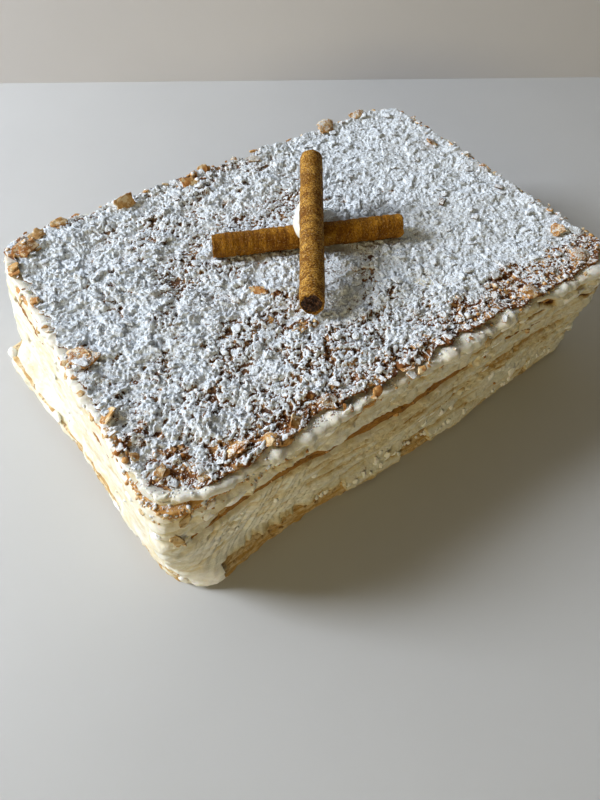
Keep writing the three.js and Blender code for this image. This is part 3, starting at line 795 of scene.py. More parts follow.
def coat_between(low, high, rows):
    """The shape of the coat between two heights."""
    def shape(station, share):
        row = share * rows
        height = low + (high - low) * np.clip((row - COAT_FOLD) / (rows - 2 * COAT_FOLD), 0, 1)
        wall = on_wall(station, height)
        left = side_share(wall)[3]
        _, base_high, base_reach = layer_at("pastry_bottom", station)
        ledge = base_reach - along(reach_of["cream_lower"], station)
        ledge = np.clip(ledge, 0, None) * smooth(base_high + 5, base_high - 2.5, height)
        ledge *= 1 - 0.8 * smooth(74, 92, wall[:, 1])
        relief, brown = coat_relief(wall)
        smear = clouds(wall, (26, 26, 3.5), 70, 2) + 0.5 * clouds(wall, (8, 8, 1.2), 69)
        plain = (1 - left) * (1 - 0.7 * near_place(wall, -117, -86, 16))
        thin = 0.24 * plain * (0.25 + 0.75 * smooth(12, 26, height)) + 0.25 * left + brown
        # the smears are stains; the hollows of the relief are made yellower as painted shade
        thin += (0.3 * smooth(0.2, 1.0, smear) + 0.25 * smooth(0.1, -1.2, relief)) * (1 - 0.5 * left)
        groove_all = 0.0
        for node, bare in BARE_EDGES.items():
            under, over, _ = layer_at(node, station)
            level = (under + over) / 2 + sheet_wave(node, wall) + 0.4 * clouds(wall, 6, 71)
            thick = (over - under) / 2 + 0.35 + sheet_swell(node, wall)
            apart = np.abs(height - level) / thick
            groove = bare_share(wall, **bare) * np.exp(-apart**6)
            groove_all = np.maximum(groove_all, groove)
            around = np.exp(-(apart * 0.7)**2) * smooth(-0.4, 0.6, clouds(wall, (9, 9, 3), 73, 2))
            thin += (0.4 if node == "pastry_upper" else 0.15) * around * (1 - 0.6 * left)
        near_top = near_place(wall, -112, -82, 20) * smooth(54.2, 55.6, height)
        groove_all = np.maximum(groove_all, near_top)
        foot = bare_share(wall, **BASE_BARE)
        low_edge = 1.4 + left * (2.6 + 2.4 * clouds(wall, (24, 24, 9), 76, 2))
        torn = 1.2 * clouds(wall, (2.2, 2.2, 9), 75, 2) + 1.1 * clouds(wall, (9, 9, 9), 78)
        edge = low_edge + (base_high + 1.4 + torn - low_edge) * foot * (1 - 0.5 * left)
        cut = smooth(edge + 0.9, edge - 0.5, height)
        at_edge = 0.7 * np.exp(-((height - edge) / 1.6)**2) * (1 - left)
        thin += at_edge + (0.1 + 0.3 * left) * smooth(8, 1, height)
        out = 0.35 + relief * (1 - 0.9 * groove_all) - 2.9 * groove_all
        out += ledge * (1 - (1 - left) * cut) + 0.4 * smooth(8, 2, height) - 1.7 * cut
        for x, y, z, size, more in WALL_BULGES:
            out += more * np.exp(-(np.linalg.norm(wall - (x, y, z), axis=1) / size)**2)
        folded = np.maximum(COAT_FOLD - row, row - rows + COAT_FOLD)
        out -= 3.5 * np.clip(folded, 0, None)
        points = on_wall(station, height, out)
        points[:, 2] += 0.35 * clouds(wall, (12, 12, 5), 77, 2) * smooth(2, 6, height)
        # painted light: the foot of the near corner is coloured whiter, as if the window lit it
        thin -= 1.2 * near_place(wall, -113, -90, 9) * smooth(16, 9, height)
        return points, {"thin": np.clip(thin, -1, 1.6)}
    return shape


lower_coat = band(LOWER_ROWS, coat_between(COAT_FOOT, COAT_JOIN, LOWER_ROWS), COAT_COLUMNS)
finish(lower_coat, "cream_coat_lower", CREAM, "cream", "cream_lower")
upper_coat = band(UPPER_ROWS, coat_between(COAT_JOIN, COAT_HEAD, UPPER_ROWS), COAT_COLUMNS)
finish(upper_coat, "cream_coat_upper", CREAM, "cream", "cream_middle", "cream_upper")
for piece in (lower_coat, upper_coat):
    choose(piece)
    bpy.ops.object.shade_smooth_by_angle(angle=SMOOTH_BELOW)

# %% [markdown]
# ## The pastry sheets
# A sheet of puff pastry is a pile of leaves, and its cut edge shows them: some stick out, some have
# broken off, and dark gaps run between them. Each sheet is a strip round the cake again, with enough
# rows that every leaf has its own ragged edge. The bottom sheet is the thickest, so it has most leaves.

# %% Leafy sheets
def base_lean(ground):
    """How far the bottom sheet's face leans back, from its foot to its top, in millimetres."""
    front = smooth(-72, -84, ground[:, 1])
    return front * np.interp(ground[:, 0], [-114, -104, -94, -40, -20, 110], [0, 2.6, 5.2, 4.4, 2.8, 2.2])


SHEET_FOLD = 2


def sheet_shape(node, leaves, rows, ragged, out, seed):
    def shape(station, share):
        row = share * rows
        level = np.clip((row - SHEET_FOLD) / (rows - 2 * SHEET_FOLD), 0, 1)
        low, high, reach = layer_at(node, station)
        ground = from_middle(reach, turn_at(station))
        rise, swell = sheet_wave(node, ground), sheet_swell(node, ground)
        wave = clouds(ground, 9, seed + 1, 2) * 0.3
        place = np.clip(level * leaves + wave * np.sin(level * math.pi), 0, leaves - 1e-3)
        leaf = np.floor(place)
        within = place - leaf
        spot = np.column_stack([ground, leaf * 37])
        jut = clouds(spot, (7, 7, 1), seed, 2) + 0.55 * clouds(spot, (1.7, 1.7, 1), seed + 5, 2)
        chipped = smooth(0.5, 0.9, clouds(spot, (11, 11, 1), seed + 9, 2))
        stand = out + ragged * jut - 0.35 * np.abs(2 * within - 1)**4 - 1.1 * chipped
        folded = np.maximum(SHEET_FOLD - row, row - rows + SHEET_FOLD)
        stand = stand - 4.0 * np.clip(folded, 0, None)
        facing = wall_facing(station)
        lift = 0.16 * clouds(spot, (3, 3, 1), seed + 13) * np.sin(level * math.pi)
        if node == "pastry_bottom":
            stand = stand - base_lean(ground) * level**1.4
        height = low - swell + level * (high - low + 2 * swell) + lift + rise
        points = np.column_stack([ground + stand[:, None] * facing.T, height])
        return points, {}
    return shape


THIN_ROWS, BASE_ROWS = 18, 36


def top_sheet_shape(station, share):
    points, notes = sheet_shape("pastry_top", 3, THIN_ROWS, 0.5, 0.1, 120)(station, share)
    sunk = 1.4 * smooth(-78, -84, points[:, 1]) * smooth(-88, -76, points[:, 0])
    points[:, :2] -= sunk[:, None] * wall_facing(station).T
    for x, y, length, more in ((-119, -76, 8, 0.8), (-114, -85, 7, 1.4)):
        bulge = more * np.exp(-(np.hypot(points[:, 0] - x, points[:, 1] - y) / length)**2)
        points[:, :2] += bulge[:, None] * wall_facing(station).T
    return points, notes


upper = band(THIN_ROWS, sheet_shape("pastry_upper", 3, THIN_ROWS, 0.5, 0.1, 100))
finish(upper, "pastry_sheet_upper", BAKED, "baked_pastry", "pastry_upper")
lower = band(THIN_ROWS, sheet_shape("pastry_lower", 3, THIN_ROWS, 0.4, -0.1, 110))
finish(lower, "pastry_sheet_lower", BAKED, "baked_pastry", "pastry_lower")
top = band(THIN_ROWS, top_sheet_shape)
finish(top, "pastry_sheet_top", CRUST, "baked_pastry", "pastry_top")
bottom = band(BASE_ROWS, sheet_shape("pastry_bottom", 9, BASE_ROWS, 0.55, 0.0, 130))
finish(bottom, "pastry_sheet_bottom", BASE, "baked_pastry", "pastry_bottom")

# %% [markdown]
# ## The cap of cream
# A last thin layer of cream glues the crumbs to the top sheet. It was pressed out between them, so it
# shows as soft lips and blobs that hang over the edge. The strip's outline is a fat drop, and noise
# makes it swell in some places and vanish in others.

# %% Cream cap
CAP_ROWS = 18
# x, y, length, how much more cream
LIPS = [
    (-120, -50, 12, 1.3), (-112, -79, 12, 2.2), (-97, -83, 8, 1.8), (-73, -84, 5, 2.2),
    (-59, -84, 6, 1.6), (-42, -84, 6, 1.5), (0, -84, 6, 1.6), (13, -85, 4, 2.6), (24, -84, 5, 2.6),
    (48, -83, 6, 3.0), (62, -83, 6, 1.6), (84, -84, 8, 2.0), (104, -82, 8, 1.8), (-119, 20, 14, 1.3),
    (-120, 62, 10, 1.3), (-121, -15, 14, 1.2)]


def cap_shape(station, share):
    low, high, reach = layer_at("cream_cap", station)
    ground = on_wall(station, low + 1)
    plenty = 0.45 + 0.8 * clouds(ground[:, :2], 17, 81, 2) + 0.3 * clouds(ground[:, :2], 4, 82, 2)
    for x, y, length, more in LIPS:
        plenty = plenty + more * near_place(ground, x, y, length)
    plenty = plenty + 0.3 * smooth(-70, -80, ground[:, 1])
    plenty = np.clip(plenty, 0, 3.2)
    corner = near_place(ground, -115, -78, 19)
    angle = (share - 0.5) * math.pi
    tuck = np.abs(share - 0.5) * 2
    out = plenty * np.cos(angle) - (5 + 9 * corner) * tuck**4
    wavy = 0.9 * clouds(ground[:, :2], 6, 83, 2) + 0.65 * clouds(ground[:, :2], 2.3, 85, 2)
    out += wavy * (1 - tuck**3) - 4.6 * corner
    height = (low + high) / 2 + 0.35 * (1 - tuck**5) + 0.5 * np.clip(plenty - 1.4, 0, None) + 1.1 * corner
    lens = np.sin(angle) * (0.8 + 0.5 * plenty) * (1 - (0.7 - 0.5 * corner) * tuck**5)
    height += lens - 0.4 * plenty * np.cos(angle)
    height += 0.5 * clouds(ground, 6, 84, 2) * (1 - 0.5 * tuck**5) + 0.4 * clouds(ground, 2.4, 86)
    height -= 3.3 * corner * smooth(0.5, 0.95, np.where(share > 0.5, tuck, 0))
    turn = np.arctan2(ground[:, 1], ground[:, 0])
    points = np.column_stack([from_middle(reach, turn) + (out * wall_facing(station)).T, height])
    return points, {"thin": 0.2 * smooth(1.0, 0.0, plenty) - 0.3 * smooth(1.0, 2.2, plenty)}


cap = band(CAP_ROWS, cap_shape)
finish(cap, "cream_cap_lips", CREAM, "cream", "cream_cap")

# %% [markdown]
# ## Where the wafer rolls lie
# The crumbs give way under the rolls, so the places of the rolls come before the crumbs. Each roll
# has a start and three directions: across, up and along.

# %% Where the rolls lie
TOP_PLANE = 62.5
ROLL_RADIUS, ROLL_BORE, SHEET_THICK = 5.8, 4.75, 0.45
LYING = dict(middle=(3.0, 5.3), height=4.2, heading=-24.2, length=91.8, slant=0.6)
RAISED = dict(end=(-24.1, -37.9), height=6.4, heading=56.0, tilt=11.1, length=87.3, slant=3.4)


def roll_frame(start, heading, tilt):
    """The start of a roll, and its directions across, up and along, as rows."""
    turn, rise = math.radians(heading), math.radians(tilt)
    ahead = np.array([math.cos(rise) * math.cos(turn), math.cos(rise) * math.sin(turn), math.sin(rise)])
    across = np.array([-math.sin(turn), math.cos(turn), 0.0])
    return np.array(start, float), np.stack([across, np.cross(ahead, across), ahead])


heading = math.radians(LYING["heading"])
lying_start = (LYING["middle"][0] - math.cos(heading) * LYING["length"] / 2,
               LYING["middle"][1] - math.sin(heading) * LYING["length"] / 2, TOP_PLANE + LYING["height"])
LYING_FRAME = roll_frame(lying_start, LYING["heading"], 0)
RAISED_FRAME = roll_frame((*RAISED["end"], TOP_PLANE + RAISED["height"]), RAISED["heading"], RAISED["tilt"])


# %% [markdown]
# ## The bed of crumbs
# The topping is a crust of broken pastry. Its relief goes from coarse to fine: flakes nearly as wide
# as a finger that lie at a slight tilt and leave cracks at their edges, clumps, crumbs of two
# millimetres, and a grain. A grid is pressed into the outline of the top, its heights are worked out
# as a sum of these, and its outer rows are turned down and under, so that the crust has a thick
# broken edge. It is made in two halves to keep each mesh small enough to handle.

# %% Crumb bed
# x, y and rounding of each corner of the top
TOP_CORNERS = np.array([[-120, -85, 18], [121, -84, 16], [122, 88.5, 17], [-121, 89.5, 11]], float)
BED_COLUMNS, BED_ROWS, BED_FLOOR = 245, 360, 60.2
CRACKS = [
    ((-37, -6), (-23, -21)), ((-25, 7.5), (-17, 5.6)), ((-78, -14), (-73, -16)),
    ((-115.7, -63.5), (-104.4, -66.5)), ((-119, 2), (-110, -8)), ((-88, -72), (-77, -78)),
    ((10, -30), (24, -38)), ((60, 20), (74, 14)), ((52, -62), (70, -66)), ((88, 30), (97, 18)),
    ((-88, 30), (-80, 18)), ((-20, 60), (-8, 55)), ((-54, -70), (-46, -74)), ((-106, -24), (-102, -26)),
    ((-66, -12), (-60, -16)), ((-30, -58), (-24, -50))]
# x, y, size, how bare
BARE_SPOTS = [
    (-83, -75, 8, 1.0), (-71, -81, 7, 1.0), (-44, -75, 9, 0.8), (-26, -37, 9, 1.0), (-38, -29, 4, 0.8),
    (-30, -14, 5, 1.0), (-119, -54, 8, 1.0), (-108, -73, 9, 1.0), (-19, 86, 9, 1.0), (-114, -5, 7, 0.8),
    (-116, -38, 6, 0.8), (-116, 78, 13, 0.9), (-112, -52, 8, 0.9), (-26, -39, 6, 1.0),
    (112, -72, 10, 0.7), (116, -50, 6, 0.7), (-106, -66, 9, 1.0), (60, -76, 9, 0.8), (77, 88, 9, 0.7),
    (2, 87, 7, 0.6), (-60, -80, 6, 0.7), (-10, -79, 7, 0.8), (28, -80, 7, 0.8), (116, 60, 7, 0.5),
    (-88, 86, 7, 0.5), (-44, 26, 5, 0.8), (56, -8, 5, 0.7), (-14, 40, 4, 0.6), (34, 2, 4, 0.5),
    (88, -78, 8, 0.7)]
# x, y, size, depth
BED_NOTCHES = [
    (-118, -80, 13, 5.8), (-122, 8, 22, 1.5), (-122, 50, 22, 1.3), (-73, -84, 5, 3.0), (-51, -84, 7, 3.2),
    (-35, -84, 5, 2.2), (13, -84, 5, 2.0), (24, -83, 5, 2.6), (49, -82, 6, 3.2), (-120, -40, 16, 1.2)]


def top_place(u, v):
    """A square from -1 to 1 both ways, pressed into the rounded outline of the cake's top."""
    half = np.array([np.ptp(TOP_CORNERS[:2, 0]) / 2, (TOP_CORNERS[3, 1] - TOP_CORNERS[0, 1]) / 2])
    place = np.column_stack([u, v]) * half
    radius = TOP_CORNERS[np.where(v < 0, (u > 0).astype(int), 3 - (u > 0).astype(int)), 2]
    start = half - radius[:, None]
    past = np.abs(place) - start
    inside = (past > 0).all(axis=1)
    squeeze = past.max(axis=1) / np.maximum(np.linalg.norm(past, axis=1), 1e-9)
    rounded = np.sign(place) * (start + past * squeeze[:, None])
    place = np.where(inside[:, None], rounded, place)
    s, t = ((place / half + 1) / 2).T[:, :, None]
    near_side = TOP_CORNERS[0, :2] * (1 - s) + TOP_CORNERS[1, :2] * s
    far_side = TOP_CORNERS[3, :2] * (1 - s) + TOP_CORNERS[2, :2] * s
    return near_side * (1 - t) + far_side * t


def crumb_relief(spots):
    """The height of the crumbs over their mean level, and where the gaps between them are."""
    warped = spots + 1.7 * sway(spots, 5, 201, 2)
    _, gap, own, way = cells(warped * (1, 1.35), 8.5, 210)
    mark = np.round(own * 9999)[:, None]
    lean = np.column_stack([chance(mark, 5), chance(mark, 6)]) - 0.5
    plate = (own > 0.3) * (1.3 * (own - 0.3) + 0.42 * (way * lean).sum(axis=1)) * smooth(0, 0.10, gap)
    seam = (own > 0.5) * np.exp(-(gap / 0.06)**2)
    plate -= 0.9 * seam
    near, gap, own, _ = cells(warped, 4.4, 215)
    clump = (0.1 + own) * np.clip(1 - (near / 0.8)**2, 0, 1) * smooth(0, 0.12, gap)
    near, seam_gap, own_lump, _ = cells(warped, 2.0, 220)
    lump = (0.15 + own_lump) * np.clip(1 - (near / 0.7)**2, 0, 1) * smooth(0, 0.18, seam_gap)
    near, _, small, _ = cells(spots + 0.35 * sway(spots, 1.1, 221), 1.25, 230)
    grain = (0.2 + small) * np.clip(1 - (near / 0.62)**2, 0, 1)
    near, _, hole, _ = cells(spots + 1.2 * clouds(spots, 3, 241, 2)[:, None], 5.2, 240)
    pit = (hole < 0.34) * (0.5 + 2 * hole) * np.exp(-(near / 0.2)**2)
    fine = clouds(spots, 0.8, 250, 2)
    swell = 1.2 * clouds(spots, 15, 260, 2)
    gap = smooth(0.62, 0.12, lump + 0.6 * grain + 0.3 * clump)
    gap = np.maximum(gap, np.clip(np.maximum(1.3 * pit, 0.9 * seam), 0, 1))
    return swell + 0.95 * plate + 0.5 * clump + 1.0 * lump + 0.5 * grain - 1.8 * pit + 0.14 * fine, gap


def front_row(spots):
    """1 along the front of the top, where the crumbs are browner, with a wandering border."""
    start = -60 + 7 * smooth(0, 40, spots[:, 0])
    return smooth(0, -14, spots[:, 1] - start + 7 * clouds(spots, 9, 281, 2))


def bare_here(spots):
    """Where the sugar misses the pastry, from 0 to 1: the front, some spots, and less to the right."""
    bare = 0.5 - 0.38 * smooth(10, 60, spots[:, 0]) - 0.15 * smooth(20, 80, spots[:, 1])
    bare = np.maximum(bare, (0.74 + 0.07 * smooth(0, 40, spots[:, 0])) * front_row(spots))
    bare = np.maximum(bare, 0.6 * smooth(104, 122, spots[:, 0] + 8 * clouds(spots, 9, 282, 2)))
    for x, y, size, amount in BARE_SPOTS:
        distance = np.hypot(spots[:, 0] - x, spots[:, 1] - y) / size + 0.9 * clouds(spots, 4.0, 280, 2)
        bare = np.maximum(bare, amount * smooth(1.1, 0.1, distance))
    return bare


def sugar_share(spots, inset):
    """How much sugar fell: most in the middle and to the right, less at the edges and on bare spots. In the
    raised roll's shadow it is raised: painted light.
    """
    share = (0.92 + 0.12 * smooth(0, 16, inset) + 0.15 * smooth(0, 80, spots[:, 0])
             + 0.1 * clouds(spots, 13, 270, 2))
    # painted light: more sugar in the raised roll's shadow, to lighten it
    share += 0.1 * near_place(spots, 10, -30, 30)
    share += 0.12 * clouds(spots, 6, 271, 2) + 0.1 * smooth(-55, -95, spots[:, 0])
    return share - 0.75 * smooth(0.62, 1.0, bare_here(spots)) - 0.1 * smooth(20, -60, spots[:, 1])


def brown_here(spots):
    """How brown the pastry under the sugar is. Where it is not bare, the gaps are painted a dark grey-brown
    instead, as shade.
    """
    return np.maximum(bare_here(spots), 0.95 * front_row(spots))


def gap_strength(spots):
    """How strongly the gaps between crumbs are painted dark, as shade: less to the right, behind and at the
    far left, and less in the raised roll's shadow, which is painted light.
    """
    strength = (1 - 0.7 * smooth(15, 65, spots[:, 0])) * (1 - 0.35 * smooth(30, 75, spots[:, 1]))
    # the gaps are painted less dark in the raised roll's shadow: painted light
    strength *= (1 - 0.45 * smooth(-60, -100, spots[:, 0])) * (1 - 0.3 * near_place(spots, 10, -30, 30))
    strength *= np.clip(0.85 + 1.0 * clouds(spots, 13, 285, 2), 0.3, 1.4)
    return np.maximum(strength, 0.95 * front_row(spots))


ROLL_CLEARANCE = 0.15
NO_LIMIT = 99.0


def roll_limit(spots, frame_of_roll, length):
    """How high the crumbs may reach under a roll that lies on them."""
    radius = ROLL_RADIUS + ROLL_CLEARANCE
    start, directions = frame_of_roll
    ahead = directions[2, :2] / np.linalg.norm(directions[2, :2])
    away = spots - start[:2]
    far, beside = away @ ahead, away @ np.array([-ahead[1], ahead[0]])
    middle = start[2] + far * directions[2, 2] / math.hypot(*directions[2, :2])
    under = middle - np.sqrt(np.clip(radius**2 - beside**2, 0, None))
    within = (np.abs(beside) < radius) & (far > -1) & (far < length)
    return np.where(within, under, NO_LIMIT)


TOP_HALF_LENGTH, TOP_HALF_WIDTH = 122, 88


def bed_shape(u, v, down):
    spots = top_place(u, v)
    inset = np.minimum((1 - np.abs(u)) * TOP_HALF_LENGTH, (1 - np.abs(v)) * TOP_HALF_WIDTH)
    relief, gap = crumb_relief(spots)
    crack = np.zeros(len(spots))
    wander = spots + 1.3 * sway(spots, 3.5, 291, 2)
    for start, end in CRACKS:
        crack = np.maximum(crack, np.exp(-(line_distance(wander, start, end) / 0.75)**2))
    hollow = 1.3 * np.exp(-(spots**2).sum(axis=1) / 50**2)
    relief = relief * (1 - 0.42 * smooth(10, 70, spots[:, 0]))
    height = TOP_PLANE - 1.05 + 0.6 * smooth(9, 0, inset) - hollow + relief - 1.6 * crack
    height = np.minimum(height, roll_limit(spots, LYING_FRAME, LYING["length"]))
    height = np.minimum(height, roll_limit(spots, RAISED_FRAME, RAISED["length"]))
    away = spots / np.maximum(np.linalg.norm(spots, axis=1), 1)[:, None]
    ragged = 1.6 * clouds(spots, 9, 301, 2) + 1.0 * clouds(spots, 2.6, 302, 2)
    turned = np.clip(1 - inset / 3.4, 0, 1)
    height -= 1.6 * near_place(spots, -113, -80, 15)
    retreat = sum(deep * near_place(spots, x, y, size) for x, y, size, deep in BED_NOTCHES)
    retreat = retreat + 1.8 * smooth(-72, -82, spots[:, 1]) * smooth(-70, -56, spots[:, 0])
    out = (1.1 + ragged) * smooth(0, 0.3, turned) - 5.0 * smooth(0.62, 1, turned) - retreat
    height = height - np.clip(height - BED_FLOOR, 0.8, None) * smooth(0.45, 1, turned)
    lowest = BED_FLOOR + 0.5 * (1 - smooth(0.3, 0.9, turned))
    points = np.column_stack([spots + away * out[:, None], np.maximum(height, lowest)])
    points[down, 2] = BED_FLOOR
    sugar = sugar_share(spots, inset) - 0.6 * crack - 0.35 * smooth(0.25, 0.8, turned)
    # less sugar in the gaps and hollows, where the material's painted shade shows
    sugar -= gap_strength(spots) * (1.0 * gap + 0.3 * np.clip(0.9 - relief, 0, 1.5))
    return points, {"sugar": sugar, "bare": np.clip(brown_here(spots) + crack, 0, 1)}


def crumb_bed(side):
    """Half of the bed. Its last column goes straight down, so that the halves meet with closed sides."""
    half = grid(BED_COLUMNS, BED_ROWS)
    u, v = np.clip(corners(half)[:, :2], -1, 1).T
    column = np.round((u + 1) / 2 * BED_COLUMNS)
    column = column if side < 0 else BED_COLUMNS - column
    u = side * (1 - np.minimum(column, BED_COLUMNS - 1) / (BED_COLUMNS - 1))
    points, notes = bed_shape(u, v, column == BED_COLUMNS)
    write(half, points)
    for name, values in notes.items():
        note(half, name, values)
    edit(half, (bpy.ops.mesh.fill_holes, {"sides": 0}))
    return half


bed_left = finish(crumb_bed(-1), "crumb_bed_left", SUGARED, "sugared_crumbs", "crumb_topping")
bed_right = finish(crumb_bed(1), "crumb_bed_right", SUGARED, "sugared_crumbs", "crumb_topping")

# %% [markdown]
# ## Loose crumbs
# A bed alone looks like plaster: real crumbs overhang and cast small shadows. So thousands of loose
# ones lie on it. A few crumbs are modelled from an icosphere with its corners pushed about, and then
# copied, turned and scaled to places that a ray from above finds on the bed. One kind makes one mesh.

# %% Scatter helpers
rng = np.random.default_rng(1867)


def bed_tree(*pieces):
    """The shown surface of some pieces, for rays to hit."""
    points, faces = [], []
    for piece in pieces:
        start = len(points)
        points += [vertex.co for vertex in piece.data.vertices]
        faces += [[start + number for number in polygon.vertices] for polygon in piece.data.polygons
                  if len(polygon.vertices) < 5]
    return BVHTree.FromPolygons(points, faces)


def crumb_models(count, squash, seed, sides=0):
    """Some crumbs of about one unit across, each with corners of its own. The finest have few sides."""
    models = []
    for number in range(count):
        if sides:
            model = fresh(bpy.ops.mesh.primitive_cone_add, vertices=sides, radius1=0.55, depth=0.8)
            edit(model, (bpy.ops.mesh.quads_convert_to_tris, {}))
        else:
            model = fresh(bpy.ops.mesh.primitive_ico_sphere_add, subdivisions=1, radius=0.5)
        points = corners(model)
        draw = np.random.default_rng(seed + number)
        points *= draw.uniform(0.74, 1.18, (len(points), 1))
        points *= (1, draw.uniform(0.7, 1), draw.uniform(*squash))
        models.append((points, np.array([polygon.vertices[:] for polygon in model.data.polygons])))
        bpy.data.objects.remove(model)
    return models


def turned(count, tilt):
    """Random turns: any heading, and a tilt up to some radians."""
    heading = rng.uniform(0, 2 * math.pi, count)
    lean = rng.uniform(0, tilt, count)
    way = rng.uniform(0, 2 * math.pi, count)
    cos_h, sin_h = np.cos(heading), np.sin(heading)
    axis = np.stack([np.cos(way), np.sin(way), np.zeros(count)], axis=1)
    spin = np.zeros((count, 3, 3))
    spin[:, 0, 0], spin[:, 0, 1] = cos_h, -sin_h
    spin[:, 1, 0], spin[:, 1, 1], spin[:, 2, 2] = sin_h, cos_h, 1
    cross = np.zeros((count, 3, 3))
    cross[:, 0, 2], cross[:, 1, 2] = axis[:, 1], -axis[:, 0]
    cross[:, 2, 0], cross[:, 2, 1] = -axis[:, 1], axis[:, 0]
    lean = lean[:, None, None]
    return (np.eye(3) + np.sin(lean) * cross + (1 - np.cos(lean)) * cross @ cross) @ spin


def scattered(models, places, sizes, turns, sugar, pick=None, bare=None):
    """One mesh of many copies. Places are in cake millimetres, and sizes too."""
    bare = brown_here(places[:, :2]) if bare is None else np.full(len(places), bare)
    if pick is None:
        pick = rng.integers(0, len(models), len(places))
    points, faces, marks, bares, start = [], [], [], [], 0
    for number, (shape, sides) in enumerate(models):
        mine = np.flatnonzero(pick == number)
        moved = np.einsum("nij,kj->nki", turns[mine], shape) * sizes[mine, None, None] + places[mine, None]
        points.append(moved.reshape(-1, 3))
        offsets = start + np.arange(len(mine)) * len(shape)
        faces.append((sides[None] + offsets[:, None, None]).reshape(-1, sides.shape[1]))
        marks.append(np.repeat(sugar[mine], len(shape)))
        bares.append(np.repeat(bare[mine], len(shape)))
        start += len(mine) * len(shape)
    piece = from_points(np.concatenate(points), np.concatenate(faces).tolist())
    note(piece, "sugar", np.concatenate(marks))
    note(piece, "bare", np.concatenate(bares))
    return piece


SPREAD_X, SPREAD_Y = (-126, 128), (-92, 95)
OUTLINE_POINTS = 720


def even_spots(step, margin):
    """Places spread over the top, one for each cell of a grid, within the outline."""
    x, y = np.meshgrid(np.arange(*SPREAD_X, step), np.arange(*SPREAD_Y, step))
    spots = np.column_stack([x.ravel(), y.ravel()]) + rng.uniform(0, step, (x.size, 2))
    turn = np.linspace(-math.pi, math.pi, OUTLINE_POINTS + 1)[:-1]
    widest = np.maximum(np.abs(np.cos(turn)), np.abs(np.sin(turn)))
    outline = top_place(np.cos(turn) / widest, np.sin(turn) / widest)
    turn = np.arctan2(outline[:, 1], outline[:, 0])
    order = np.argsort(turn)
    edge = np.interp(np.arctan2(spots[:, 1], spots[:, 0]), turn[order],
                     np.linalg.norm(outline, axis=1)[order], period=2 * math.pi)
    inset = edge - np.linalg.norm(spots, axis=1)
    keep = inset > margin
    return spots[keep], inset[keep]


RAY_HEIGHT = 0.1
DOWN = Vector((0, 0, -1))


def rays_down(tree, spots):
    """What a ray from above meets at each of the spots, or None."""
    return [tree.ray_cast(Vector((x, y, RAY_HEIGHT)), DOWN)[0] for x, y in (spots + CAKE_MIDDLE[:2]) / 1000]


def lies_on(tree, spots):
    """Whether a ray from above meets the tree's surface at each of the spots."""
    return np.array([hit is not None for hit in rays_down(tree, spots)])


def drop(tree, spots):
    """Where a ray from above lands, in cake millimetres, and which of the spots it finds."""
    hits = rays_down(tree, spots)
    found = [number for number, hit in enumerate(hits) if hit is not None]
    return np.array([hits[number] for number in found]) * 1000 - CAKE_MIDDLE, np.array(found)


def turned_by(degrees, axis):
    return Matrix.Rotation(math.radians(degrees), 3, axis)

# %% [markdown]
# ## Flakes
# Between the crumbs lie flakes of the baked sheets, some as long as a finger joint. A flake is a grid
# with three broken sides, bent, and given its thickness by Solidify. The small ones are scattered like
# the crumbs. The big ones are two leaves on top of each other, each flake at a place of its own.

# %% Flake models
BROKEN_SIDES = 3


def flake_models(count, columns, rows, thickness, curl, seed, leaves=1):
    models = []
    for number in range(count):
        draw = np.random.default_rng(seed + number)
        wide = draw.uniform(0.45, 0.75)
        stack_points, stack_faces, start = [], [], 0
        for leaf in range(leaves):
            sheet = grid(columns, rows, 1)
            points = corners(sheet)
            u, v = points[:, 0].copy(), points[:, 1].copy()
            mark = 10 * number + 3 * leaf
            torn_u = 0.08 * clouds(np.column_stack([4 * v + mark, u * 2]), 1.0, seed, 2)
            torn_v = 0.10 * clouds(np.column_stack([4 * u + mark, v * 2]), 1.0, seed + 1, 2)
            pinch = 1 - 0.9 * (u * v)**2 * 4
            points[:, 0] = u * pinch * (1 - 0.12 * leaf) + torn_u * 2 * np.abs(u) * np.sign(u)
            points[:, 1] = v * wide * pinch * (1 - 0.12 * leaf) + torn_v * np.abs(v) * np.sign(v)
            for _ in range(BROKEN_SIDES):
                side = draw.uniform(0, 2 * math.pi)
                toward = np.array([math.cos(side), math.sin(side) * wide])
                long = np.linalg.norm(toward)
                over = np.clip(points[:, :2] @ toward / long - draw.uniform(0.2, 0.36) * long, 0, None)
                points[:, :2] -= 0.85 * over[:, None] * toward / long
            points[:, :2] += draw.normal(0, 0.03, 2) * leaf
            bend = curl * draw.uniform(-0.4, 1)
            rumple = 0.35 * curl * clouds(points[:, :2] + mark, 0.3, seed + 2, 2)
            points[:, 2] = bend * (1 - 4 * u**2) + rumple
            points[:, 2] += leaf * thickness * 1.15
            sheet.data.vertices.foreach_set("co", points.ravel())
            apply_modifier(sheet, "SOLIDIFY", thickness=thickness, offset=0)
            stack_points.append(corners(sheet))
            stack_faces.append(np.array([polygon.vertices[:] for polygon in sheet.data.polygons]) + start)
            start += len(stack_points[-1])
            bpy.data.objects.remove(sheet)
        models.append((np.concatenate(stack_points), np.concatenate(stack_faces)))
    return models


# %% Scattered flakes
bed_surface = bed_tree(bed_left, bed_right)
spots, inset = even_spots(10.5, 1.5)
places, found = drop(bed_surface, spots)
sizes = np.clip(rng.lognormal(1.4, 0.3, len(found)), 2.6, 7.5)
places[:, 2] += 0.3 + 0.02 * sizes
share = sugar_share(places[:, :2], inset[found]) + rng.normal(-0.1, 0.2, len(found))
small_flakes = scattered(flake_models(9, 7, 5, 0.1, 0.12, 700), places, sizes,
                         turned(len(found), 0.28), share)
finish(small_flakes, "pastry_flakes_small", GRAIN, "sugared_crumbs")

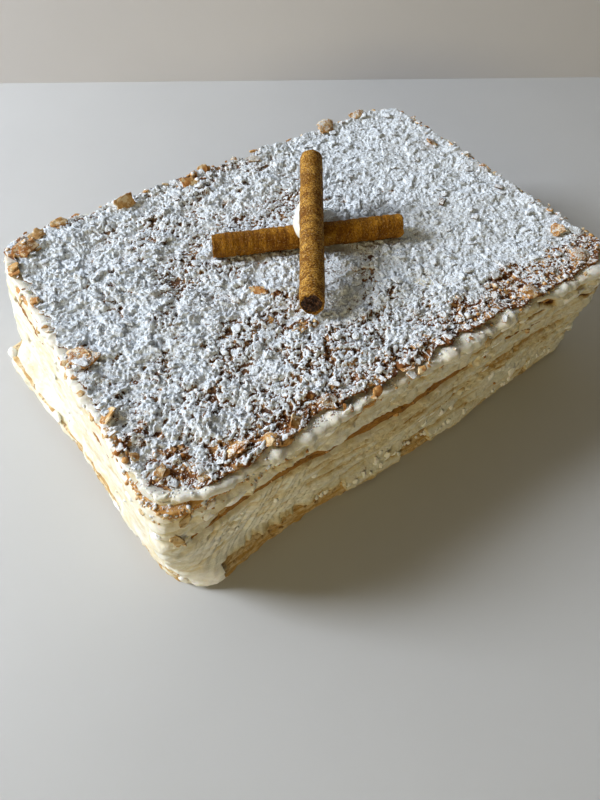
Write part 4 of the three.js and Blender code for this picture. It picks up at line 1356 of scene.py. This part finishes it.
# %% Large flakes
# x, y, z, length, turn, tilt, sugar
LARGE_FLAKES = np.array([
    (-57, 83, 64.4, 13, 12, 58, 0.0), (-22, 82, 63.2, 11, -10, 26, 0.1), (72, 87, 63.0, 13, 3, 20, 0.3),
    (96, 88, 63.2, 11, -12, 26, 0.35), (-114, -5, 63.2, 15, -50, 10, 0.34),
    (-116.5, -38, 63.6, 11, 36, -30, 0.1), (-60, -79, 61.9, 9, 40, 38, 0.1),
    (-83, -77, 62.2, 9, 20, -24, 0.35), (104, -74, 62.4, 11, -24, 18, 0.4),
    (110, -55, 62.9, 9, 76, -20, 0.3), (112, 40, 63.0, 10, 84, 24, 0.35),
    (18, 81.5, 62.8, 9, -14, 26, 0.5), (-112, 75, 63.1, 16, 38, 16, 0.25),
    (-33.5, -10, 62.3, 9, -47, 34, 0.3), (-119, -50, 62.6, 5, 60, 24, 0.1),
    (-116, -59, 62.5, 5, 80, 26, 0.15), (-110, -70, 61.6, 8, 30, 6, 0.2),
    (-99, -79, 61.8, 7, 10, 14, 0.35), (-72, -80, 62.2, 8, 34, -16, 0.15),
    (-67, -83, 61.7, 7, -20, 24, 0.15), (-31, -40, 61.4, 8, 10, 12, 0.1),
    (-44, -78, 62.6, 9, 12, 18, 0.4), (-8, -82, 62.4, 9, 4, -20, 0.3), (66, -79, 62.8, 10, -8, 16, 0.3),
    (-121, 66, 62.6, 9, 76, -16, 0.0), (-104, 84, 62.8, 10, 24, 20, 0.1),
    (-39, -29, 62.8, 4, 40, 20, 0.0), (-120, 40, 62.4, 7, 82, -20, 0.15), (-92, 87, 62.8, 8, 8, 24, 0.15),
    (-10, 88, 63.0, 9, -6, 20, 0.1)], float)
large_models = flake_models(len(LARGE_FLAKES), 18, 10, 0.055, 0.09, 740, leaves=2)
turns = np.array([np.array(turned_by(turn, "Z") @ turned_by(tilt, "X"))
                  for turn, tilt in LARGE_FLAKES[:, 4:6]])
large_flakes = scattered(large_models, LARGE_FLAKES[:, :3], LARGE_FLAKES[:, 3], turns, LARGE_FLAKES[:, 6],
                         pick=np.arange(len(LARGE_FLAKES)), bare=1.0)
finish(large_flakes, "pastry_flakes_large", GOLDEN, "baked_pastry")

# %% [markdown]
# Sugared crumbs lie on the bed and on the flakes alike. The larger ones are flat shards at an angle,
# the finest are grains of less than a millimetre that stand close together and give the sugar its
# rough skin. All of them sink in by up to half of their size, as if they had been pressed on.

# %% Sugared crumbs
topping = bed_tree(bed_left, bed_right, small_flakes, large_flakes, cap)
flake_surface = bed_tree(large_flakes)


def less_there(spots):
    """Which spots to keep: few in gaps, on the large flakes and on the cream at the near corner."""
    gap = crumb_relief(spots)[1] * gap_strength(spots)
    thinned = np.maximum(0.92 * gap, 0.85 * lies_on(flake_surface, spots))
    thinned += 0.5 * near_place(spots, -118, -80, 8)
    away = 0.45 * smooth(15, 70, spots[:, 0]) + 0.3 * smooth(30, 75, spots[:, 1])
    thinned += away * (1 - front_row(spots))
    return rng.uniform(0, 1, len(spots)) > thinned


def sprinkle(name, step, margin, draw_sizes, lift, extra_sugar, models, tilt):
    """Spreads crumbs over the topping. Extra sugar is the mean and the spread of a random share."""
    spots, inset = even_spots(step, margin)
    keep = less_there(spots)
    places, found = drop(topping, spots[keep])
    sizes = draw_sizes(len(found))
    places[:, 2] += sizes * lift
    share = sugar_share(places[:, :2], inset[keep][found]) + rng.normal(*extra_sugar, len(found))
    finish(scattered(models, places, sizes, turned(len(found), tilt), share), name, GRAIN, "sugared_crumbs")


sprinkle("sugared_shards", 2.4, 0.4, lambda count: np.clip(rng.lognormal(0.0, 0.3, count), 0.6, 1.9),
         0.02, (0.0, 0.16), crumb_models(12, (0.35, 0.75), 40), 0.5)
sprinkle("sugar_grains", 1.25, 0.2, lambda count: rng.uniform(0.4, 0.9, count),
         0.15, (0.08, 0.18), crumb_models(9, (0.6, 1), 60, sides=5), 1.2)

# %% [markdown]
# Where little sugar fell, golden crumbs lie bare: at the corners, along the left edge and wherever a
# flake broke off. At the rim, flakes hang over the edge and make its ragged outline.

# %% Golden crumbs and rim flakes
spots, inset = even_spots(1.9, -0.6)
left_rim = smooth(-108, -116, spots[:, 0]) * smooth(-40, -46, spots[:, 1])
keep = rng.uniform(0, 1, len(spots)) < (0.42 + 0.4 * left_rim) * smooth(0.74, 1.0, bare_here(spots))
places, found = drop(topping, spots[keep])
sizes = np.clip(rng.lognormal(0.6, 0.4, len(found)), 0.9, 4.0)
places[:, 2] += sizes * 0.15
share = rng.uniform(0.0, 0.95, len(found))
golden = scattered(crumb_models(10, (0.25, 0.6), 80), places, sizes, turned(len(found), 0.8), share, bare=1.0)
finish(golden, "golden_crumbs", GOLDEN, "baked_pastry")


def rim_places(count, low_inset, high_inset):
    """Places round the edge of the top, and the turn that each needs to face outwards."""
    around = rng.uniform(-1, 1, count)
    side = rng.integers(0, 4, count)
    u = np.choose(side, [around, 1, around, -1])
    v = np.choose(side, [-1, around, 1, around])
    spots = top_place(u, v)
    outward = spots / np.linalg.norm(spots, axis=1)[:, None]
    spots = spots - outward * rng.uniform(low_inset, high_inset, count)[:, None]
    facing = np.choose(side, [-90.0, 0.0, 90.0, 180.0])
    return spots, np.radians(facing) + rng.normal(0, 0.5, count)


RIM_FLAKES = 260
spots, facing = rim_places(RIM_FLAKES, -1.6, 1.8)
away_from_corner = np.hypot(spots[:, 0] + 116, spots[:, 1] + 82) > 24
front_or_left = (spots[:, 0] <= -112) | (spots[:, 1] <= -78)
away_from_corner &= ~front_or_left | (rng.uniform(0, 1, len(spots)) < 0.3)
spots, facing = spots[away_from_corner], facing[away_from_corner]
droop = rng.normal(0.25, 0.4, len(spots))
turns = np.array([np.array(Matrix.Rotation(turn, 3, "Z") @ Matrix.Rotation(tilt, 3, "Y"))
                  for turn, tilt in zip(facing, droop)])
places = np.column_stack([spots, TOP_PLANE - 0.6 + rng.uniform(-0.8, 0.7, len(spots))])
sizes = np.clip(rng.lognormal(1.2, 0.35, len(spots)), 1.8, 7)
rim_flakes = scattered(flake_models(8, 9, 6, 0.1, 0.12, 780), places, sizes, turns,
                       rng.uniform(0, 0.7, len(spots)), bare=1.0)
finish(rim_flakes, "pastry_flakes_rim", GOLDEN, "baked_pastry")

# %% [markdown]
# ## What sticks to the sides
# Crumbs and flakes stick to the wet cream, most near the sheets' edges and under the rim. A ray from
# outside finds where each one touches the wall.

# %% Crumbs on the wall
def station_at(x, y):
    """The place along the wall that lies in a direction from the middle."""
    return np.interp(np.arctan2(y, x), wall_turn, np.arange(WALL_STATIONS))


RAY_OUT = 25.0


def wall_places(tree, station, height):
    """Where a ray from outside meets the wall, in cake millimetres."""
    origin = (on_wall(station, height, RAY_OUT) + CAKE_MIDDLE) / 1000
    facing = wall_facing(station).T
    places = []
    for start, (x, y) in zip(origin, facing):
        hit = tree.ray_cast(Vector(start), Vector((-x, -y, 0)))[0]
        places.append(hit if hit is not None else Vector(start) - Vector((x, y, 0)) * (RAY_OUT / 1000))
    return np.array(places) * 1000 - CAKE_MIDDLE


wall_surface = bed_tree(lower_coat, upper_coat, cap, upper, top, bottom)
WALL_CRUMBS, STRIP_CRUMBS, SHELF_CRUMBS, LEFT_SHELF_CRUMBS = 130, 170, 420, 150
station = rng.uniform(0, WALL_STATIONS, WALL_CRUMBS)
height = rng.choice([57.5, 44.6, 10], WALL_CRUMBS, p=[0.5, 0.3, 0.2]) + rng.normal(0, 1.6, WALL_CRUMBS)
keep = side_share(on_wall(station, height))[3] < rng.uniform(0.1, 0.9, WALL_CRUMBS)
strip = station_at(-106, -86) + rng.normal(0, 30, STRIP_CRUMBS)
# x, y, height, size
NUGGETS = np.array([
    (-77.5, -87, 57, 3.2), (-53, -87, 57.7, 4.2), (-61, -87, 53.5, 2.8), (-49, -87, 41, 2.6),
    (-112, -86, 41, 2.4)], float)
station = np.concatenate([station[keep], strip, station_at(NUGGETS[:, 0], NUGGETS[:, 1])])
height = np.concatenate([height[keep], rng.normal(56.4, 1.5, STRIP_CRUMBS), NUGGETS[:, 2]])
places = wall_places(wall_surface, station, height)
shelf = np.column_stack([np.linspace(-121, -84, SHELF_CRUMBS), np.full(SHELF_CRUMBS, -84.0)])
shelf[:LEFT_SHELF_CRUMBS] = np.column_stack([np.full(LEFT_SHELF_CRUMBS, -120.0),
                                             np.linspace(-58, -84, LEFT_SHELF_CRUMBS)])
shelf = (shelf + rng.normal(0, 1.8, shelf.shape))[rng.uniform(0, 1, SHELF_CRUMBS) < 0.5]
on_shelf, found = drop(bed_tree(top, cap), shelf)
on_shelf = on_shelf[on_shelf[:, 2] < COAT_HEAD]
places = np.concatenate([places, on_shelf])
sizes = np.clip(rng.lognormal(0.4, 0.42, len(places)), 0.8, 3.4)
marked = slice(keep.sum() + STRIP_CRUMBS, keep.sum() + STRIP_CRUMBS + len(NUGGETS))
sizes[marked] = NUGGETS[:, 3]
powder = np.concatenate([np.zeros(keep.sum()), rng.uniform(0, 1, STRIP_CRUMBS), np.zeros(len(NUGGETS)),
                         rng.uniform(0.2, 1.1, len(on_shelf))])
stuck = scattered(crumb_models(8, (0.35, 0.8), 100), places, sizes,
                  turned(len(places), 3.0), powder, bare=1.0)
finish(stuck, "crumbs_in_cream", GOLDEN, "baked_pastry")

# %% Flakes on the wall
# x, y, height, size, turn
WALL_FLAKES = np.array([
    (-111, -86, 53, 6, 20), (-117, -87, 46, 7, -60), (-104, -86, 50, 4, 60), (-120, -74, 52, 4, 10),
    (-124, -2, 56, 5, 80), (-125, 30, 57, 6, 75), (-124, 52, 56, 5, 85), (-122, -30, 57, 4, 80),
    (-97, -87, 46, 4, 10), (33, -84, 57, 5, 50)], float)
stations = station_at(WALL_FLAKES[:, 0], WALL_FLAKES[:, 1])
places = wall_places(wall_surface, stations, WALL_FLAKES[:, 2])
places[:, :2] += 0.6 * wall_facing(stations).T
turns = []
for (x, y), turn in zip(wall_facing(stations).T, WALL_FLAKES[:, 4]):
    upright = np.array([[-y, 0, x], [x, 0, y], [0, 1, 0]])
    turns.append(upright @ np.array(turned_by(-30, "X") @ turned_by(turn, "Z")))
pasted = scattered(flake_models(4, 10, 7, 0.12, 0.07, 820), places, WALL_FLAKES[:, 3],
                   np.array(turns), np.full(len(WALL_FLAKES), 0.2), bare=1.0)
finish(pasted, "pastry_flakes_on_sides", BASE, "baked_pastry")

# %% [markdown]
# The spatula leaves dabs of cream: a row of beads along the foot of the front, where it was wiped on
# the table, and longer dabs near the rim. Each is a ball with a wavy skin, pressed flat on the wall.

# %% Dabs of cream
# x, y, height, length along the wall, height of the dab, how far it stands out
DABS = np.array([
    (-105, -88, 50, 5, 5, 2.0), (-103, -88, 54, 6, 2.6, 1.2), (-118, -80, 46, 5, 3.4, 1.0),
    (-94, -88, 51, 9, 3.4, 1.4), (-73, -86, 57, 6, 3.4, 1.8), (-75, -87, 28, 2.6, 2.6, 1.2),
    (-50, -87, 57, 6, 3.0, 1.6), (48, -84, 57.5, 9, 3.2, 1.8), (24, -85, 57.5, 5, 2.6, 1.6),
    (90, -85, 54, 10, 3.6, 1.6), (106, -82, 50, 8, 3.8, 1.6), (-94, -88, 25, 2, 2, 0.8),
    (-38, -87, 7, 3, 5, 1.4), (-34, -87, 6, 3, 5, 1.4), (-46, -88, 7, 3, 5, 1.3),
    (-22, -87, 11, 3.5, 5, 1.4), (-16, -87, 11, 3, 5, 1.3), (-4, -86, 11, 3, 5, 1.3),
    (6, -85, 18, 2.6, 5, 1.2), (17, -85, 17, 2.6, 5.5, 1.3), (26, -85, 13, 3, 6, 1.4),
    (-120, -85, 4, 5, 5.5, 1.5), (-128, 20, 9, 10, 4, 1.4), (-138, 76, 9, 9, 6, 2.4),
    (-124, -40, 8, 8, 4, 1.2), (50, -84, 20, 4, 6, 1.1), (66, -84, 12, 5, 7, 1.2)], float)
BEADS, LOOSE_DABS = 90, 90
bead_x = np.cumsum(rng.uniform(1.3, 3.4, BEADS)) - 66
bead_x = bead_x[(bead_x < 108) & (rng.uniform(0, 1, BEADS) < np.where(bead_x < 20, 0.6, 0.4))]
bead_height = 7.5 + 0.9 * clouds(bead_x[:, None], 14, 640) + rng.normal(0, 0.5, len(bead_x))
loose_height = rng.choice([57.5, 48, 33, 22, 15], LOOSE_DABS, p=[0.3, 0.2, 0.2, 0.15, 0.15])
loose_height += rng.normal(0, 2.6, LOOSE_DABS)
stations = np.concatenate([station_at(DABS[:, 0], DABS[:, 1]),
                           station_at(bead_x, np.full(len(bead_x), -88.0)),
                           rng.uniform(0, WALL_STATIONS, LOOSE_DABS)])
heights = np.concatenate([DABS[:, 2], bead_height, loose_height])
bead_sizes = rng.uniform(1.4, 3.2, (len(bead_x), 1))
bead_sizes = bead_sizes * np.column_stack([rng.uniform(0.7, 1.1, len(bead_x)), np.full(len(bead_x), 1.2),
                                           np.full(len(bead_x), 0.42)])
loose_sizes = [rng.uniform(low, high, LOOSE_DABS) for low, high in ((1.4, 6), (1.2, 2.6), (0.5, 1.3))]
spans = np.concatenate([DABS[:, 3:], bead_sizes, np.column_stack(loose_sizes)])
places = wall_places(wall_surface, stations, heights)
facing = wall_facing(stations)
ball = fresh(bpy.ops.mesh.primitive_uv_sphere_add, segments=18, ring_count=10, radius=1)
sphere = corners(ball)
sides = [polygon.vertices[:] for polygon in ball.data.polygons]
bpy.data.objects.remove(ball)
points, faces = [], []
for number, (place, (x, y), (wide, tall, deep)) in enumerate(zip(places, facing.T, spans)):
    local = sphere * (1 + 0.34 * clouds(sphere + 7 * number, 0.9, 620, 2)[:, None])
    local *= (wide / 2, deep, tall / 2)
    aslant = 0.2 * local[:, 0] if wide > 2.5 else 0
    local[:, 2] += aslant + 0.3 * deep * clouds(sphere * 2 + number, 1.0, 621)
    turn = np.array([[-y, x, 0], [x, y, 0], [0, 0, 1]])
    faces += [[corner + len(sphere) * number for corner in side] for side in sides]
    points.append(local @ turn + place - np.array([x, y, 0]) * 0.3 * deep)
dabs = from_points(np.concatenate(points), faces)
# painted light: the dabs are coloured whiter than the wall, where they stand out into the light
note(dabs, "thin", -0.9)
finish(dabs, "cream_dabs", CREAM, "cream")

# %% [markdown]
# ## Wafer rolls
# A wafer roll is a thin baked sheet wound up while hot. The piece is made the same way: a flat grid is
# wound into a spiral of nearly two turns, its surface gets the rings that the winding leaves, its ends
# are made ragged, and Solidify gives the sheet its thickness.

# %% Rolls
ROLL_COLUMNS, ROLL_ROWS, WINDINGS = 100, 190, 1.7


def wafer_roll(frame_of_roll, length, slant, pleat, spacing, seed):
    sheet = grid(ROLL_COLUMNS, ROLL_ROWS)
    u, v = ((corners(sheet)[:, :2] + 1) / 2).T
    wound = 1 - (1 - u)**1.35
    angle = -math.pi / 2 + 2 * math.pi * WINDINGS * (wound - 1)
    radius = ROLL_BORE + (ROLL_RADIUS - SHEET_THICK / 2 - 0.12 - ROLL_BORE) * wound + 0.1 * smooth(0.97, 1, u)
    far = v * length
    around = np.column_stack([far, from_middle(radius, angle)])
    ring_spot = np.column_stack([far + 0.9 * np.sin(angle + seed), 0.10 * radius * angle])
    rings = clouds(ring_spot, spacing, seed, 2)
    radius = (radius + pleat * rings + 0.07 * clouds(around, (20, 4, 4), seed + 3, 2)
              + 0.05 * clouds(around, 1.1, seed + 5))
    edge = np.exp(-np.minimum(far, length - far) / 1.2)
    chips = clouds(np.column_stack([radius * angle, 0 * angle]), 1.6, seed + 7, 2)
    chips = chips + 0.6 * clouds(around, 3, seed + 8)
    far = far + np.where(v < 0.5, 1, -1) * edge * (0.25 + 0.4 * chips)
    radius = radius - 0.25 * edge * (0.6 + 0.6 * clouds(around, 2, seed + 9))
    start, directions = frame_of_roll
    cut = slant * (0.5 + 0.5 * radius * np.sin(angle) / ROLL_RADIUS)
    far = cut + far * (1 - cut / length)
    local = np.column_stack([from_middle(radius, angle), far])
    write(sheet, start + local @ directions)
    note(sheet, "along", far)
    note(sheet, "around", radius * angle)
    note(sheet, "pleat", rings)
    apply_modifier(sheet, "SOLIDIFY", thickness=SHEET_THICK / 1000, offset=0)
    return sheet


raised = wafer_roll(RAISED_FRAME, RAISED["length"], RAISED["slant"], 0.14, 1.5, 400)
finish(raised, "wafer_roll_raised", WAFER, "wafer", "wafer_raised")
lying = wafer_roll(LYING_FRAME, LYING["length"], LYING["slant"], 0.3, 1.7, 430)
finish(lying, "wafer_roll_lying", WAFER_DARK, "wafer", "wafer_lying")

# %% [markdown]
# The filling is a rod of chocolate crumb. A sphere already has closed poles, so it is stretched into
# a rod: its rings near the poles make the two faces, the others the side. Cells a millimetre and a
# half wide make the grains that show in the faces.

# %% Chocolate
FACE_RINGS, SIDE_RINGS = 0.36, 0.14    # shares of the way from one pole to the other
RECESS = 0.8


def chocolate_rod(frame_of_roll, length, slant, seed):
    rod = fresh(bpy.ops.mesh.primitive_uv_sphere_add, segments=64, ring_count=76, radius=1)
    points = corners(rod)
    turn = np.arctan2(points[:, 1], points[:, 0])
    polar = np.arccos(np.clip(points[:, 2], -1, 1)) / math.pi
    depth = np.minimum(polar, 1 - polar) / FACE_RINGS
    radius = (ROLL_BORE - 0.05) * np.clip(depth, 0, 1)
    share = np.where(depth < 1, np.sign(0.5 - polar), (0.5 - polar) / SIDE_RINGS)
    far = length / 2 + share * (length / 2 - RECESS)
    spot = np.column_stack([from_middle(radius, turn), far])
    near, _, own, _ = cells(spot, 1.5, seed)
    grain = (0.2 + own) * np.clip(1 - (near / 0.7)**2, 0, 1) + 0.35 * clouds(spot, 0.8, seed + 1, 2)
    far = far + np.where(polar < 0.5, 1, -1) * np.clip(1.2 - depth, 0, 1) * (1.9 * grain - 0.9)
    cut = slant * (0.5 + 0.5 * spot[:, 1] / ROLL_RADIUS)
    far = cut + far * (1 - cut / length)
    start, directions = frame_of_roll
    write(rod, start + np.column_stack([spot[:, :2], far]) @ directions)
    return rod


finish(chocolate_rod(RAISED_FRAME, RAISED["length"], RAISED["slant"], 500), "chocolate_in_raised_roll",
       CHOCOLATE, "chocolate", "filling_raised")
finish(chocolate_rod(LYING_FRAME, LYING["length"], LYING["slant"], 510), "chocolate_in_lying_roll",
       CHOCOLATE, "chocolate", "filling_lying")

# %% [markdown]
# ## The dollop
# A dollop of cream holds the raised roll up, and some of it squeezed out over the lying roll. Two balls
# pulled along the raised roll are joined and skinned again by a voxel Remesh, which melts them into one.
# Then the rolls are pressed into it: every point inside a roll moves out to its skin.

# %% Dollop
def press(points, frame_of_roll, length, radius):
    """Moves the points that are inside a roll out to its skin."""
    start, directions = frame_of_roll
    local = (points - start) @ directions.T
    distance = np.linalg.norm(local[:, :2], axis=1)
    inside = (distance < radius) & (local[:, 2] > -1) & (local[:, 2] < length + 1)
    local[:, :2] *= np.where(inside, radius / np.maximum(distance, 1e-6), 1)[:, None]
    return local @ directions + start


# radii along, across and up, and the middle in cake millimetres
LUMPS = [((13.0, 7.4, 13.0), (12.6, 18.6, TOP_PLANE - 1.2)), ((9.0, 6.8, 5.6), (3.4, 6.4, 72.6))]
tilt, heading = math.radians(RAISED["tilt"]), math.radians(RAISED["heading"])
lean = np.array(Matrix.Rotation(heading, 3, "Z") @ Matrix.Rotation(-tilt, 3, "Y"))
balls = []
for radii, middle in LUMPS:
    ball = fresh(bpy.ops.mesh.primitive_uv_sphere_add, segments=64, ring_count=40, radius=1)
    write(ball, (corners(ball) * radii) @ lean.T + middle)
    balls.append(ball)
bpy.ops.object.select_all(action="DESELECT")
for ball in balls:
    ball.select_set(True)
bpy.ops.object.join()
dollop = bpy.context.object
apply_modifier(dollop, "REMESH", mode="VOXEL", voxel_size=0.00045)
apply_modifier(dollop, "SMOOTH", factor=0.5, iterations=12)
points = read(dollop)
outward = points - points.mean(axis=0)
outward /= np.linalg.norm(outward, axis=1)[:, None]
fold = np.sin(points[:, 2] * 1.3 + points[:, 0] * 0.25 + clouds(points, 6, 601, 2) * 1.6)
points += outward * (0.16 * fold + 0.3 * clouds(points, 3, 602, 2))[:, None]
DOLLOP_FLOOR, DOLLOP_CLEARANCE = 61.0, 0.1
points[:, 2] = np.maximum(points[:, 2], DOLLOP_FLOOR)
for _ in range(3):
    for frame_of_roll, roll in ((RAISED_FRAME, RAISED), (LYING_FRAME, LYING)):
        points = press(points, frame_of_roll, roll["length"], ROLL_RADIUS + DOLLOP_CLEARANCE)
write(dollop, points)
note(dollop, "thin", 0.0)
finish(dollop, "cream_dollop_soft", CREAM, "cream", "cream_dollop")

# %% [markdown]
# ## Table and light
# A plain pale table and a wall behind it, not part of the cake. The light of a window comes from the
# left and behind. A weaker, warmer light from the left and the front keeps the shaded front readable.

# %% Table and wall
def plain_material(name, colour, roughness):
    plain = Recipe(name)
    haze = plain.noise(90, 3)
    soft = tuple(channel * 0.93 for channel in colour)
    return plain.skin(Base_Color=plain.mix(haze, soft, colour), Roughness=roughness, Specular_IOR_Level=0.3)


WALL_PLACE, WALL_HEADING = Vector((0.174, 0.264, 0)), CAMERA_HEADING

STAGE_SIZE = 3.2
table = fresh(bpy.ops.mesh.primitive_plane_add, size=STAGE_SIZE)
table.data.transform(Matrix.Translation((-0.1, 0.1, 0)))
table.name = "table"
table.data.materials.append(plain_material("table_top", (0.60, 0.605, 0.60), 0.4))
wall = fresh(bpy.ops.mesh.primitive_plane_add, size=STAGE_SIZE)
wall.data.transform(Matrix.Translation(WALL_PLACE) @ Matrix.Rotation(-WALL_HEADING, 4, "Z")
                    @ Matrix.Rotation(math.pi / 2, 4, "X") @ Matrix.Translation((0, STAGE_SIZE / 2, 0)))
wall.name = "wall"
wall.data.materials.append(plain_material("wall_paint", (0.74, 0.73, 0.745), 0.7))
print("table:", [round(c, 2) for c in table.dimensions])

# %% Lights
AIM = Vector((0, 0, 0.03))


def area_light(name, place, size, power, colour):
    bpy.ops.object.light_add(type="AREA", location=place)
    lamp = bpy.context.object
    lamp.name = name
    lamp.data.shape = "RECTANGLE"
    lamp.data.size, lamp.data.size_y = size
    lamp.data.energy = power
    lamp.data.color = colour
    lamp.rotation_euler = (AIM - Vector(place)).to_track_quat("-Z", "Y").to_euler()


WINDOW = dict(place=(-1.10, 0.86, 0.80), size=(0.42, 0.64), power=33.8, colour=(0.87, 0.92, 1.0))
SIDE = dict(place=(-1.05, -0.98, 0.5), size=(0.9, 0.5), power=6.8, colour=(1.0, 0.833, 0.481))
for name, lamp in (("window", WINDOW), ("room_from_the_side", SIDE)):
    area_light(name, **lamp)

world = bpy.data.worlds.new("room_light")
bpy.context.scene.world = world
world.use_nodes = True
background = world.node_tree.nodes["Background"].inputs
background["Color"].default_value, background["Strength"].default_value = (1.0, 0.90, 0.66, 1), 0.02
bpy.context.scene.view_settings.view_transform = "Standard"
